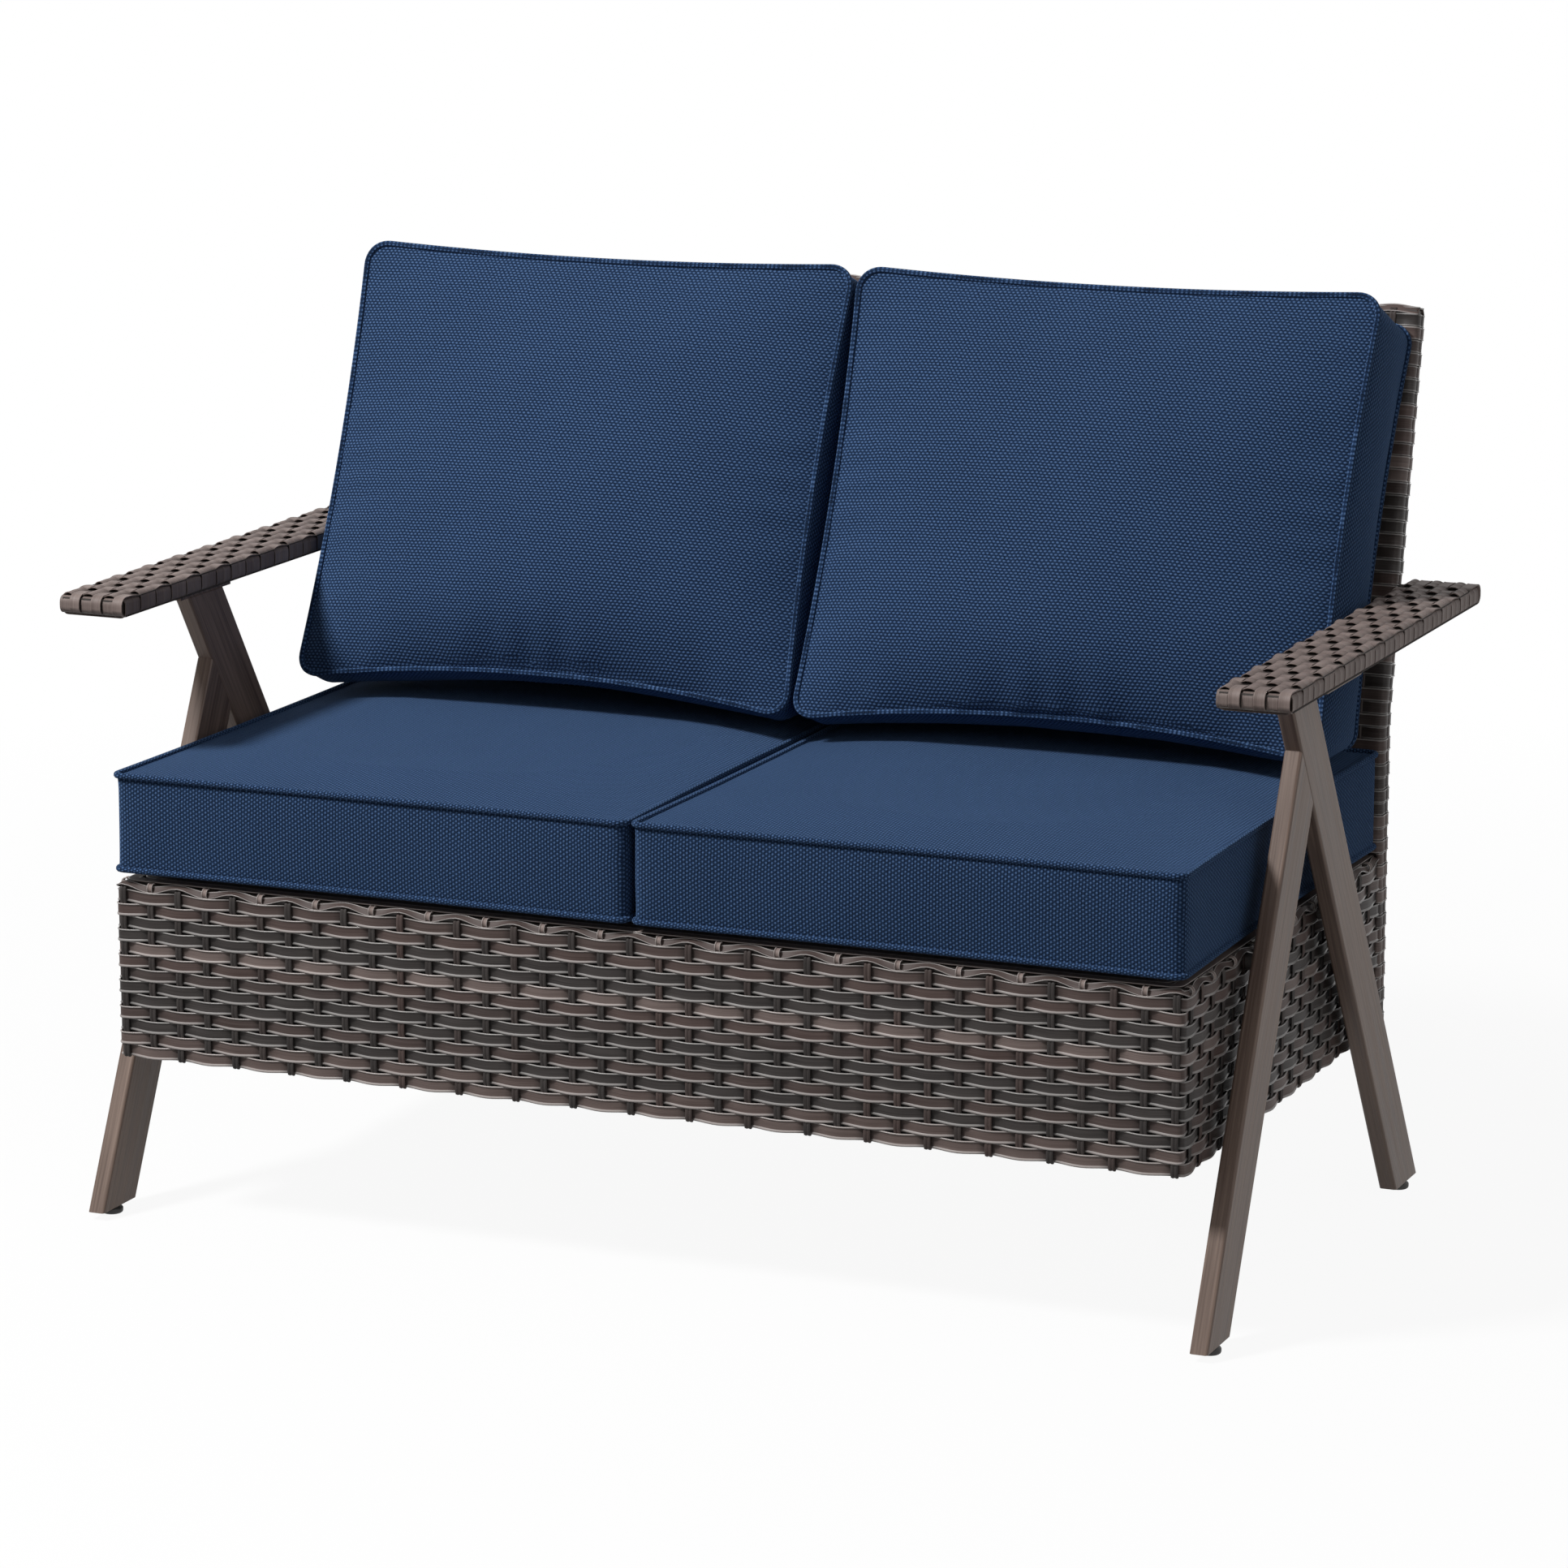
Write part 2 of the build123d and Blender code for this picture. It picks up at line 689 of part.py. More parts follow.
def core_block(width, length, thickness, gap=0.0):
    """The foam core of a cushion, or with a gap the hollow that it lies in."""
    inset = 2 * (draw_in + wrap_thickness - gap)
    height = thickness - 2 * (wrap_thickness - gap)
    return Pos(0, 0, thickness / 2) * Box(width - inset, length - inset, height)


def seat_cushions():
    """Covers with their fibre wrap, and foam cores, of the seat cushions that lie on the deck."""
    width = cushion_width - 2 * soft_gap
    length = seat_depth + seat_nose - soft_gap
    size = (width, length, seat_cushion_thickness)
    cover = cushion_body(*size, seat_low_crown, seat_crown, seat_corner) - core_block(*size, foam_gap)
    rest = box_top + soft_gap + seat_low_crown
    for side, sign in sides.items():
        place = Pos(sign * cushion_width / 2, front_y - seat_nose + length / 2, rest)
        add(f"seat_cover_{side}", place * cover)
        add(f"seat_foam_{side}", place * core_block(*size))


def back_cushions():
    """Covers and foam cores of the back cushions, which stand on the seat and lean on the panel."""
    tilt = math.radians(back_cushion_lean)
    rest_z = box_top + soft_gap + seat_low_crown + seat_cushion_thickness + seat_crown + soft_gap
    top_z = rest_z + back_cushion_lift + back_cushion_height * math.cos(tilt)
    rear_top_z = top_z - back_cushion_thickness * math.sin(tilt)
    rear_top_y = panel_y + (rear_top_z - panel_bend_z) * math.tan(lean) - soft_gap
    front_top_y = rear_top_y - back_cushion_thickness * math.cos(tilt)
    face = Plane(origin=(0, front_top_y, top_z), x_dir=(1, 0, 0), z_dir=(0, -math.cos(tilt), math.sin(tilt)))
    place = face * Pos(0, -back_cushion_height / 2, -back_cushion_thickness)
    size = (cushion_width - 2 * soft_gap, back_cushion_height, back_cushion_thickness)
    cover = place * cushion_body(*size, back_rear_crown, back_crown, back_corner)
    cover &= between(rest_z, 2 * top_z)
    cover -= place * core_block(*size, foam_gap) & between(rest_z + wrap_thickness - foam_gap, 2 * top_z)
    foam = place * core_block(*size) & between(rest_z + wrap_thickness, 2 * top_z)
    for side, sign in sides.items():
        spot = Pos(sign * cushion_width / 2, 0, 0)
        add(f"back_cover_{side}", spot * cover)
        add(f"back_foam_{side}", spot * foam)


os.makedirs("parts", exist_ok=True)
box_rails()
box_uprights()
deck()
skirt()
back_panel()
for side_name, side_sign in sides.items():
    arm(side_name, side_sign)
    side_legs(side_name, side_sign)
feet()
seat_cushions()
back_cushions()
leg_fasteners()
panel_fasteners()
arm_fasteners()
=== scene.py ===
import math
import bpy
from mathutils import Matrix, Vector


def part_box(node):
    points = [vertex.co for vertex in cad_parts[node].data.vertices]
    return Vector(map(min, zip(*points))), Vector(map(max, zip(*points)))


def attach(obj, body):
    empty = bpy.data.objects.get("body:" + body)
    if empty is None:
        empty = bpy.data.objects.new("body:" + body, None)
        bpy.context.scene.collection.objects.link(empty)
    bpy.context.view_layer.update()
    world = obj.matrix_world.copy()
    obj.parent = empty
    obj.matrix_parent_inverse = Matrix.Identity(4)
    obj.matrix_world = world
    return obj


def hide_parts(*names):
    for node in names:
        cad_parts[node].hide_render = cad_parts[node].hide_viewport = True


bl_info = {
    "name": "Patio Loveseat",
    "version": (1, 0, 0),
    "blender": (4, 5, 0),
    "location": "View3D > Sidebar > Loveseat",
    "description": "Dresses the loveseat frame with woven resin, grained legs and padded cushions",
    "category": "Object",
}

import bmesh
import bpy
import numpy as np
from mathutils import Vector, noise

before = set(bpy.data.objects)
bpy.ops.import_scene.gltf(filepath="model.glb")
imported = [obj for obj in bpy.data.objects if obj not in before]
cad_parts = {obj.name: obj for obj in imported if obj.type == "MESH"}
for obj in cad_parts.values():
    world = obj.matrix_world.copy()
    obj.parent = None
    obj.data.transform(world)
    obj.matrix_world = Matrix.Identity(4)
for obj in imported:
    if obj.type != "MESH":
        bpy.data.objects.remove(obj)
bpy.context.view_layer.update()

SIDES = ("left", "right")
STRAND_MAP = "strand_run"
CLOTH_MAP = "cloth_run"
CLOTH_STEPS = 20
TONE = "strand_tone"
# Painted shade of the weave's recesses, kept on each point of a strand
SHADE = "strand_shade"

# Tones of the skirt's rows from the bottom, from charcoal at 0 to light brown at 1
SKIRT_TONES = (0.75, 0.7, 0.1, 0.5, 0.1, 0.15, 0.4, 0.6, 0.85, 0.15, 0.1, 0.6, 0.55)

# Where the rows' repeats and each group of strands start in the made-up tones
ROW_REPEATS, LOOP_TONES, SKIRT_STAKE_TONES, PANEL_STAKE_TONES = 50, 90, 200, 300
ARM_STRAND_TONES, ARM_WRAP_TONES = 7, 31

# Ends of the skirt's stakes, as heights over the skirt's edge and depths from its outside
STAKE_FOOT = ((0.0050, -0.0054), (0.0017, -0.0052), (0.0008, -0.0042), (0.0013, -0.0030))
STAKE_TUCKED = ((-0.0076, -0.0050), (-0.0070, -0.0056))
STAKE_FOLDED = ((-0.0074, -0.0022), (-0.0060, -0.0028), (-0.0050, -0.0042), (-0.0048, -0.0056))
STAKE_LOOP = ((-0.0105, -0.0052), (-0.0091, -0.0037), (-0.0082, -0.0018), (-0.0068, -0.0010),
              (-0.0048, -0.0010), (-0.0030, -0.0018), (-0.0017, -0.0034), (-0.0012, -0.0056),
              (-0.0022, -0.0078))


def srgb(red, green, blue):
    """A screen colour, 0 to 255, as the linear colour that a shader takes."""
    shares = (channel / 255 for channel in (red, green, blue))
    return tuple(s / 12.92 if s <= 0.04045 else ((s + 0.055) / 1.055) ** 2.4 for s in shares)


def length(name, description, default):
    """A size in metres that a user may change."""
    return bpy.props.FloatProperty(
        name=name, description=description, default=default, min=0.0, precision=4, unit="LENGTH")


def count(name, description, default):
    """A number of like things, which is at least two."""
    return bpy.props.IntProperty(name=name, description=description, default=default, min=2)


def angle(name, description, degrees):
    """An angle that a user may change, given in degrees."""
    return bpy.props.FloatProperty(
        name=name, description=description, default=math.radians(degrees), unit="ROTATION")


def colour(name, description, red, green, blue):
    """A colour that a user may change, given as on a screen."""
    return bpy.props.FloatVectorProperty(
        name=name, description=description, default=srgb(red, green, blue),
        min=0.0, max=1.0, subtype="COLOR")


class WeaveSizes(bpy.types.PropertyGroup):
    """Sizes of the woven resin"""

    strand_width: length("Strand width", "Width of one flat resin strand", 0.0126)
    strand_thickness: length("Strand thickness", "Thickness of a strand between its lips", 0.0012)
    lip: length("Lip", "How far a strand's rounded edges stand up", 0.00095)
    fine_lip: length("Fine lip", "The same on the strands of the back panel", 0.0005)
    rows: count("Skirt rows", "Rows of strands on the seat box", 13)
    back_rows: count("Back rows", "Rows of strands on the back panel", 56)
    hem: length("Hem", "Space below the lowest row, where the stakes fold under", 0.002)
    brim: length("Brim", "Space above the top row, taken by the braided edge", 0.008)
    stake_width: length("Stake width", "Width of an upright stake, two ribs together", 0.0074)
    stake_pitch: length("Stake pitch", "Distance between upright stakes", 0.0305)
    end_stake: length("End stake", "Distance of the outer stakes from the corner of the front", 0.0104)
    side_stake: length("Side stake", "Distance of the first side stake from the front", 0.020)
    side_pitch: length("Side pitch", "Distance between stakes on the sides", 0.030)
    layer: length("Layer", "Depth of the woven layer", 0.0052)
    corner: length("Corner radius", "Radius of the upright corners of the skirt", 0.008)
    braid_width: length("Braid width", "Width of the strand braided along the top edge", 0.0074)
    braid_drop: length("Braid drop", "Depth of the braid's low points below the seat box's top", 0.0072)
    braid_rise: length("Braid rise", "How far the braid rises over a stake", 0.0046)
    rim_strands: count("Rim strands", "Strands that cover the rim of the seat box's top", 3)
    rim_width: length("Rim width", "Width of a rim strand", 0.0125)
    rim_gap: length("Rim gap", "Space between two rim strands", 0.0005)
    rim_inset: length("Rim inset", "Distance of the first rim strand behind the skirt's outside", 0.0140)
    rim_drop: length("Rim drop", "Depth of the rim strands below the seat box's top", 0.0004)
    droop: length("Droop", "How far a strand hangs lower where it lies outside", 0.0013)
    # The black cloth is a dark sheet that stands in for the shade inside the seat box
    shadow_sheet_inset: length("Lining inset", "Distance of the black cloth behind the skirt's outside", 0.0060)


class PanelSizes(bpy.types.PropertyGroup):
    """Sizes of the back panel and the arms"""

    bend_height: length("Bend height", "Height at which the back panel leans back", 0.490)
    bend_length: length("Bend length", "Length over which the back panel bends backwards", 0.06)
    upper_length: length("Upper length", "Length of the reclined part of the panel", 0.412)
    lean: angle("Lean", "How far the upper part of the back panel leans back", 12.4)
    thickness: length("Panel thickness", "Depth of the back panel", 0.028)
    skin: length("Panel skin", "Depth of the woven layer on each face of the panel", 0.004)
    edge_radius: length("Panel edge", "Radius of the panel's upright edges", 0.006)
    end_stake: length("Panel end stake", "Distance of the outer stakes from the panel's edge", 0.028)
    stake_gaps: count("Stake gaps", "Spaces between the panel's stakes", 36)
    hem: length("Panel hem", "Space below the panel's lowest row", 0.001)
    brim: length("Panel brim", "Space above the panel's top row", 0.008)
    slim_strand: length("Slim strand", "Width of the two strands braided along the top edge", 0.0104)
    flat_strand: length("Flat strand", "Width of the strand between the two braided ones", 0.0150)
    arm_strands: count("Arm strands", "Strands that run along an arm", 6)
    arm_wraps: count("Arm wraps", "Pairs of strands wrapped across an arm", 19)
    arm_skin: length("Arm skin", "Depth of the woven layer on an arm", 0.003)
    arm_front: length("Arm front", "Distance of the first wrap from the front end of an arm", 0.0057)
    arm_rear: length("Arm rear", "Distance of the last wrap from the rear end of an arm", 0.0085)
    arm_edge: length("Arm edge radius", "Radius of the long edges of an arm", 0.0065)
    arm_side: length("Arm side", "Depth of the wraps' middle on an arm's sides and underside", 0.0008)
    arm_swell: length("Arm swell", "How far the wraps stand up over the arm's top", 0.0010)
    arm_nose: length("Arm end radius", "Radius of the two ends of an arm", 0.0085)


class CushionSizes(bpy.types.PropertyGroup):
    """Sizes of the cushions"""

    cell: length("Cloth cell", "Mesh size of the cloth before it is subdivided", 0.0095)
    piping: length("Piping radius", "Radius of the piping along the seams", 0.0031)
    seat_corner: length("Seat corner", "Corner radius of a seat cushion", 0.010)
    back_corner: length("Back corner", "Corner radius of a back cushion", 0.025)
    crown: length("Crown", "How far the face of a back cushion stands out from its seams", 0.050)
    draw_in: length("Draw in", "How far the sides pull in between the corners", 0.004)
    seat_swell: length("Seat swell", "Furthest that the seat covers swell", 0.011)
    back_swell: length("Back swell", "Furthest that the back covers swell", 0.010)
    back_lean: angle("Cushion lean", "How far the back cushions lean back", 22.5)
    back_height: length("Cushion height", "Height of a back cushion along its slope", 0.479)
    back_thickness: length("Cushion thickness", "Thickness of a back cushion at its seams", 0.118)
    seam_rise: length("Seam rise", "Depth of a seat cushion's upper seam below its top", 0.007)
    foot_rise: length("Foot rise", "Height of a seat cushion's lower seam above the seat box", 0.012)
    setback: length("Setback", "Distance of the seat cushions behind the front of their space", 0.005)
    clearance: length("Clearance", "Space between a cushion and what it rests against", 0.0006)
    seat_rough: length("Seat unevenness", "How uneven the filled seat cushions are", 0.0016)
    back_rough: length("Back unevenness", "How uneven the filled back cushions are", 0.0028)


class Finishes(bpy.types.PropertyGroup):
    """Colours of the materials"""

    fabric: colour("Fabric", "Woven fabric of the cushions", 36, 60, 95)
    # The fabric's light tops and dark gaps are painted highlight and painted shade of the threads' relief
    fabric_highlight: colour("Fabric light", "Tops of the threads that lie outside", 84, 112, 153)
    fabric_shade: colour("Fabric shade", "Gaps between the threads", 3, 10, 25)
    resin_dark: colour("Dark strand", "Charcoal resin strands", 41, 34, 32)
    resin_brown: colour("Brown strand", "Brown resin strands", 84, 65, 60)
    resin_light: colour("Light strand", "Lightest resin strands", 148, 131, 125)
    leg: colour("Leg", "Printed grain of the legs", 136, 116, 104)
    leg_dark: colour("Leg grain", "Dark lines of the printed grain", 82, 64, 55)
    frame_paint: colour("Frame paint", "Paint on the inner steel", 58, 52, 49)
    # Colour of the dark sheet that stands in for the shade inside the weave
    shadow_sheet: colour("Lining", "Dark cloth behind the weave", 26, 25, 25)
    zinc: colour("Fasteners", "Plated bolts, nuts and screws", 150, 152, 154)
    glide: colour("Glides", "Nylon of the feet", 34, 32, 31)
    floor: colour("Floor", "Pale floor and backdrop", 249, 249, 249)


# Meshes made of swept strips

class Strips:
    """Collects swept strips into one mesh, mapped by metres along and by -1 to 1 across."""

    map_step = 1.37

    def __init__(self):
        self.points = []
        self.faces = []
        self.map = []
        self.tones = []
        self.shades = []
        self.count = 0

    def sweep(self, way, across, outward, profile, tone, painted_shade=0.0, closed=False):
        """Sweeps a closed profile along a row of places, with a tone and painted recess shade at each place.

        A profile's points are across and outward, and may name their place across the map as well.
        """
        way = np.asarray(way, float)
        profile = np.asarray(profile, float)
        across = np.broadcast_to(across, way.shape)
        outward = np.broadcast_to(outward, way.shape)
        stations, ring = len(way), len(profile)
        grid = (way[:, None, :] + profile[None, :, 0, None] * across[:, None, :]
                + profile[None, :, 1, None] * outward[:, None, :])
        loop = np.vstack([way, way[:1]]) if closed else way
        run = np.concatenate([[0.0], np.cumsum(np.linalg.norm(np.diff(loop, axis=0), axis=1))])
        i, j = np.meshgrid(np.arange(stations if closed else stations - 1), np.arange(ring), indexing="ij")
        i, j = i.ravel(), j.ravel()
        ahead, beside = (i + 1) % stations, (j + 1) % ring
        quads = np.stack([i * ring + j, i * ring + beside, ahead * ring + beside, ahead * ring + j], 1)
        self.faces.extend((quads + self.count).tolist())
        shift = self.map_step * len(self.points)
        u = np.stack([run[i], run[i], run[i + 1], run[i + 1]], 1) + shift
        edge = profile[:, -1] if profile.shape[1] == 3 else profile[:, 0] / np.abs(profile[:, 0]).max()
        v = np.stack([edge[j], edge[beside], edge[beside], edge[j]], 1)
        self.map.append(np.stack([u.ravel(), v.ravel()], 1))
        if not closed:
            last = self.count + (stations - 1) * ring
            self.faces.append([self.count + k for k in range(ring)][::-1])
            self.faces.append([last + k for k in range(ring)])
            self.map.append(np.full((2 * ring, 2), shift))
        self.points.append(grid.reshape(-1, 3))
        self.tones.append(np.full(stations * ring, tone))
        self.shades.append(np.repeat(np.broadcast_to(painted_shade, stations), ring))
        self.count += stations * ring

    def piece(self, name, material):
        """The collected strips as one smooth piece."""
        mesh = bpy.data.meshes.new(name)
        mesh.from_pydata(np.vstack(self.points).tolist(), [], self.faces)
        layer = mesh.uv_layers.new(name=STRAND_MAP)
        layer.data.foreach_set("uv", np.vstack(self.map).astype(np.float32).ravel())
        for layer_name, values in ((TONE, self.tones), (SHADE, self.shades)):
            layer = mesh.attributes.new(layer_name, "FLOAT", "POINT")
            layer.data.foreach_set("value", np.concatenate(values).astype(np.float32))
        mesh.polygons.foreach_set("use_smooth", [True] * len(mesh.polygons))
        mesh.materials.append(material)
        turn_outward(mesh)
        return placed(name, mesh)


def placed(name, data):
    """An object of a mesh, lamp or camera, in the scene."""
    made = bpy.data.objects.new(name, data)
    bpy.context.scene.collection.objects.link(made)
    return made


def turn_outward(mesh):
    """Gives every face of a closed mesh its outer side outwards."""
    work = bmesh.new()
    work.from_mesh(mesh)
    bmesh.ops.recalc_face_normals(work, faces=work.faces)
    work.to_mesh(mesh)
    work.free()
    mesh.update()


class Way:
    """A line in a plane, with outward directions, that is read by distance along it."""

    def __init__(self, points, outward):
        self.points = np.asarray(points, float)
        self.outward = np.asarray(outward, float)
        steps = np.linalg.norm(np.diff(self.points, axis=0), axis=1)
        self.run = np.concatenate([[0.0], np.cumsum(steps)])
        self.end = self.run[-1]

    def at(self, distance):
        """Places and outward directions at distances along the line."""
        place = [np.interp(distance, self.run, self.points[:, k]) for k in (0, 1)]
        out = np.stack([np.interp(distance, self.run, self.outward[:, k]) for k in (0, 1)], -1)
        return np.stack(place, -1), out / np.linalg.norm(out, axis=-1, keepdims=True)


def arc(centre, radius, start, stop, steps=8):
    """Points and outward directions of an arc between two angles in degrees."""
    turn = np.radians(np.linspace(start, stop, steps + 1))
    out = np.stack([np.cos(turn), np.sin(turn)], 1)
    return np.asarray(centre) + radius * out, out


def rounded_way(width, height, radius, steps):
    """A closed rounded rectangle about the origin, from the middle of its top edge."""
    w, h = width / 2 - radius, height / 2 - radius
    corners = [((w, h), 90, 0), ((w, -h), 0, -90), ((-w, -h), -90, -180), ((-w, h), 180, 90)]
    points, outward = [(0.0, height / 2)], [(0.0, 1.0)]
    for centre, start, stop in corners:
        place, out = arc(centre, radius, start, stop, steps)
        points.extend(place)
        outward.extend(out)
    points.append((0.0, height / 2))
    outward.append((0.0, 1.0))
    return Way(points, outward)


def wave(distance, stakes, phase, low, high):
    """Rises to high at every other stake and falls to low between, with stake 0 high in phase 0."""
    pitch = stakes[1] - stakes[0], stakes[-1] - stakes[-2]
    knots = np.concatenate([[stakes[0] - pitch[0]], stakes, [stakes[-1] + pitch[1]]])
    k = np.clip(np.searchsorted(knots, distance) - 1, 0, len(knots) - 2)
    share = np.clip((distance - knots[k]) / (knots[k + 1] - knots[k]), 0, 1)
    ease = (1 - np.cos(math.pi * share)) / 2
    here = np.where((k + phase) % 2 == 1, high, low)
    there = np.where((k + 1 + phase) % 2 == 1, high, low)
    return here + (there - here) * ease


def alternate(place, edges, phase, low, high, flank):
    """Changes between two levels at each edge, with rounded flanks, and starts low in phase 0."""
    cell = np.searchsorted(edges, place)
    level = np.where((cell + phase) % 2 == 0, low, high)
    away = np.abs(place[:, None] - edges[None, :]).min(axis=1)
    middle = (low + high) / 2
    return middle + (level - middle) * np.sin(np.clip(away / flank, 0, 1) * math.pi / 2)


def stations(end, stakes, between):
    """Distances along a row: a few between each two stakes, and on past the outer ones."""
    inner = [np.linspace(a, b, between, endpoint=False) for a, b in zip(stakes[:-1], stakes[1:])]
    before = np.linspace(0.0, stakes[0], between, endpoint=False)
    after = np.linspace(stakes[-1], end, between + 1)
    return np.unique(np.concatenate([before, *inner, after]))


def strand_profile(width, thickness, lip, fine=True, heavy=1.0):
    """Section of a flat strand whose long edges stand up as rounded lips, the first wider by heavy."""
    half, top = width / 2, thickness / 2
    shares = [(0.0, -0.3, 1.0), (0.05, 0.6, 0.98), (0.24, 1.0, 0.93), (0.42, 0.9, 0.88),
              (0.62, 0.15, 0.8), (0.72, 0.0, 0.74), (1.0, 0.0, 0.66)]
    if not fine:
        shares = [(0.0, -0.3, 1.0), (0.14, 0.9, 0.95), (0.42, 0.9, 0.86), (0.7, 0.0, 0.72)]
    reach, bevel = 0.2 * width, 0.0006
    first = [(-half + a * reach * heavy, top + b * lip, -v) for a, b, v in shares]
    second = [(half - a * reach, top + b * lip, v) for a, b, v in reversed(shares)]
    return first + second + [(half - bevel, -top, 0.5), (-half + bevel, -top, -0.5)]


def cloth_profile(half):
    """Section of the thin dark sheet behind a weave, which stands in for the shade inside it."""
    skin = 0.0001
    return [(-half, skin), (half, skin), (half, -skin), (-half, -skin)]


def plain_profile(width, thickness):
    """Section of an arm strand: flat, with softly rounded edges and no painted highlight on its lips."""
    lip, below_highlight = 0.0002, 0.7
    return [(a, b, below_highlight * v) for a, b, v in strand_profile(width, thickness, lip, fine=False)]


def woven_levels(thickness, lip, layer):
    """Depths of a strand's middle where it lies outside and inside of a woven layer."""
    return -(thickness / 2 + lip), -(layer - thickness / 2)


def stake_profile(width):
    """Section of a stake: two round ribs side by side."""
    half, rib = width / 2, width / 4
    side = [(-half, -0.0004, -0.5), (-half + 0.0004, 0.0004, -0.6), (-rib, 0.0008, -0.74),
            (-0.0004, 0.0003, -0.4)]
    mirrored = [(-a, b, -v) for a, b, v in reversed(side)]
    return side + [(0.0, -0.0001, 0.0)] + mirrored + [(0.0, -0.0007, 0.0)]


def painted_shade_of(depth, inner, outer, most, power=1.4):
    """Painted shade on a strand at each place, from none outside to its most at the shaded inner level."""
    share = np.clip((outer - depth) / (outer - inner), 0, 1)
    return most * share ** power


def tone_of(index, low=0.0, high=1.0):
    """A steady made-up tone for a strand, the same each time."""
    spread = math.sin(index * 12.9898 + 4.1) * 43758.5453
    return low + (high - low) * (spread - math.floor(spread))


def row_tones(rows):
    """Tones of rows from the bottom: neighbours often share a strand, so they share its tone."""
    tones, index = [], 0
    while len(tones) < rows:
        repeat = 1 + int(tone_of(index + ROW_REPEATS) * 2.2)
        tones.extend([tone_of(index)] * repeat)
        index += 1
    return tones[:rows]


# Materials

def add_node(tree, kind, sockets=None, **settings):
    """Adds a node, sets it up, and links or fills its sockets."""
    made = tree.nodes.new(kind)
    for key, value in settings.items():
        setattr(made, key, value)
    for socket, source in (sockets or {}).items():
        if isinstance(source, bpy.types.NodeSocket):
            tree.links.new(source, made.inputs[socket])
        else:
            made.inputs[socket].default_value = source
    return made


def calc(tree, operation, a, b=0.0, c=0.0):
    """One step of arithmetic between sockets or numbers."""
    node = add_node(tree, "ShaderNodeMath", {0: a, 1: b, 2: c}, operation=operation)
    return node.outputs[0]


def blend_colours(tree, share, first, second):
    """Goes from the first colour to the second with a share."""
    node = add_node(tree, "ShaderNodeMix", {0: share}, data_type="RGBA", clamp_factor=True)
    for slot, value in ((6, first), (7, second)):
        if isinstance(value, bpy.types.NodeSocket):
            tree.links.new(value, node.inputs[slot])
        else:
            node.inputs[slot].default_value = (*value, 1.0)
    return node.outputs[2]


def ramp(tree, share, stops):
    """A colour ramp with stops given as (place, colour)."""
    node = add_node(tree, "ShaderNodeValToRGB", {0: share})
    band = node.color_ramp
    while len(band.elements) < len(stops):
        band.elements.new(0.5)
    for element, (place, value) in zip(band.elements, stops):
        element.position = place
        element.color = (*value, 1.0)
    return node.outputs[0]


def painted(name, paint, **values):
    """The named material, made and painted when it is first asked for."""
    material = bpy.data.materials.get(name)
    if material is None:
        material = bpy.data.materials.new(name)
        material.use_nodes = True
        tree = material.node_tree
        tree.nodes.clear()
        shader = tree.nodes.new("ShaderNodeBsdfPrincipled")
        output = tree.nodes.new("ShaderNodeOutputMaterial")
        tree.links.new(shader.outputs[0], output.inputs[0])
        paint(tree, shader, **values)
    return material


def bumped(tree, shader, height, distance, strength):
    """Gives the surface relief of a height between 0 and 1, in metres."""
    node = add_node(tree, "ShaderNodeBump", {"Height": height, "Distance": distance, "Strength": strength})
    tree.links.new(node.outputs[0], shader.inputs["Normal"])


def stretched_noise(tree, vector, scale, detail=2.0):
    """Noise of a vector that has been scaled differently along each axis."""
    mapped = add_node(tree, "ShaderNodeMapping", {"Vector": vector, "Scale": scale})
    node = add_node(
        tree, "ShaderNodeTexNoise", {"Vector": mapped.outputs[0], "Scale": 1.0, "Detail": detail})
    return node.outputs[0]


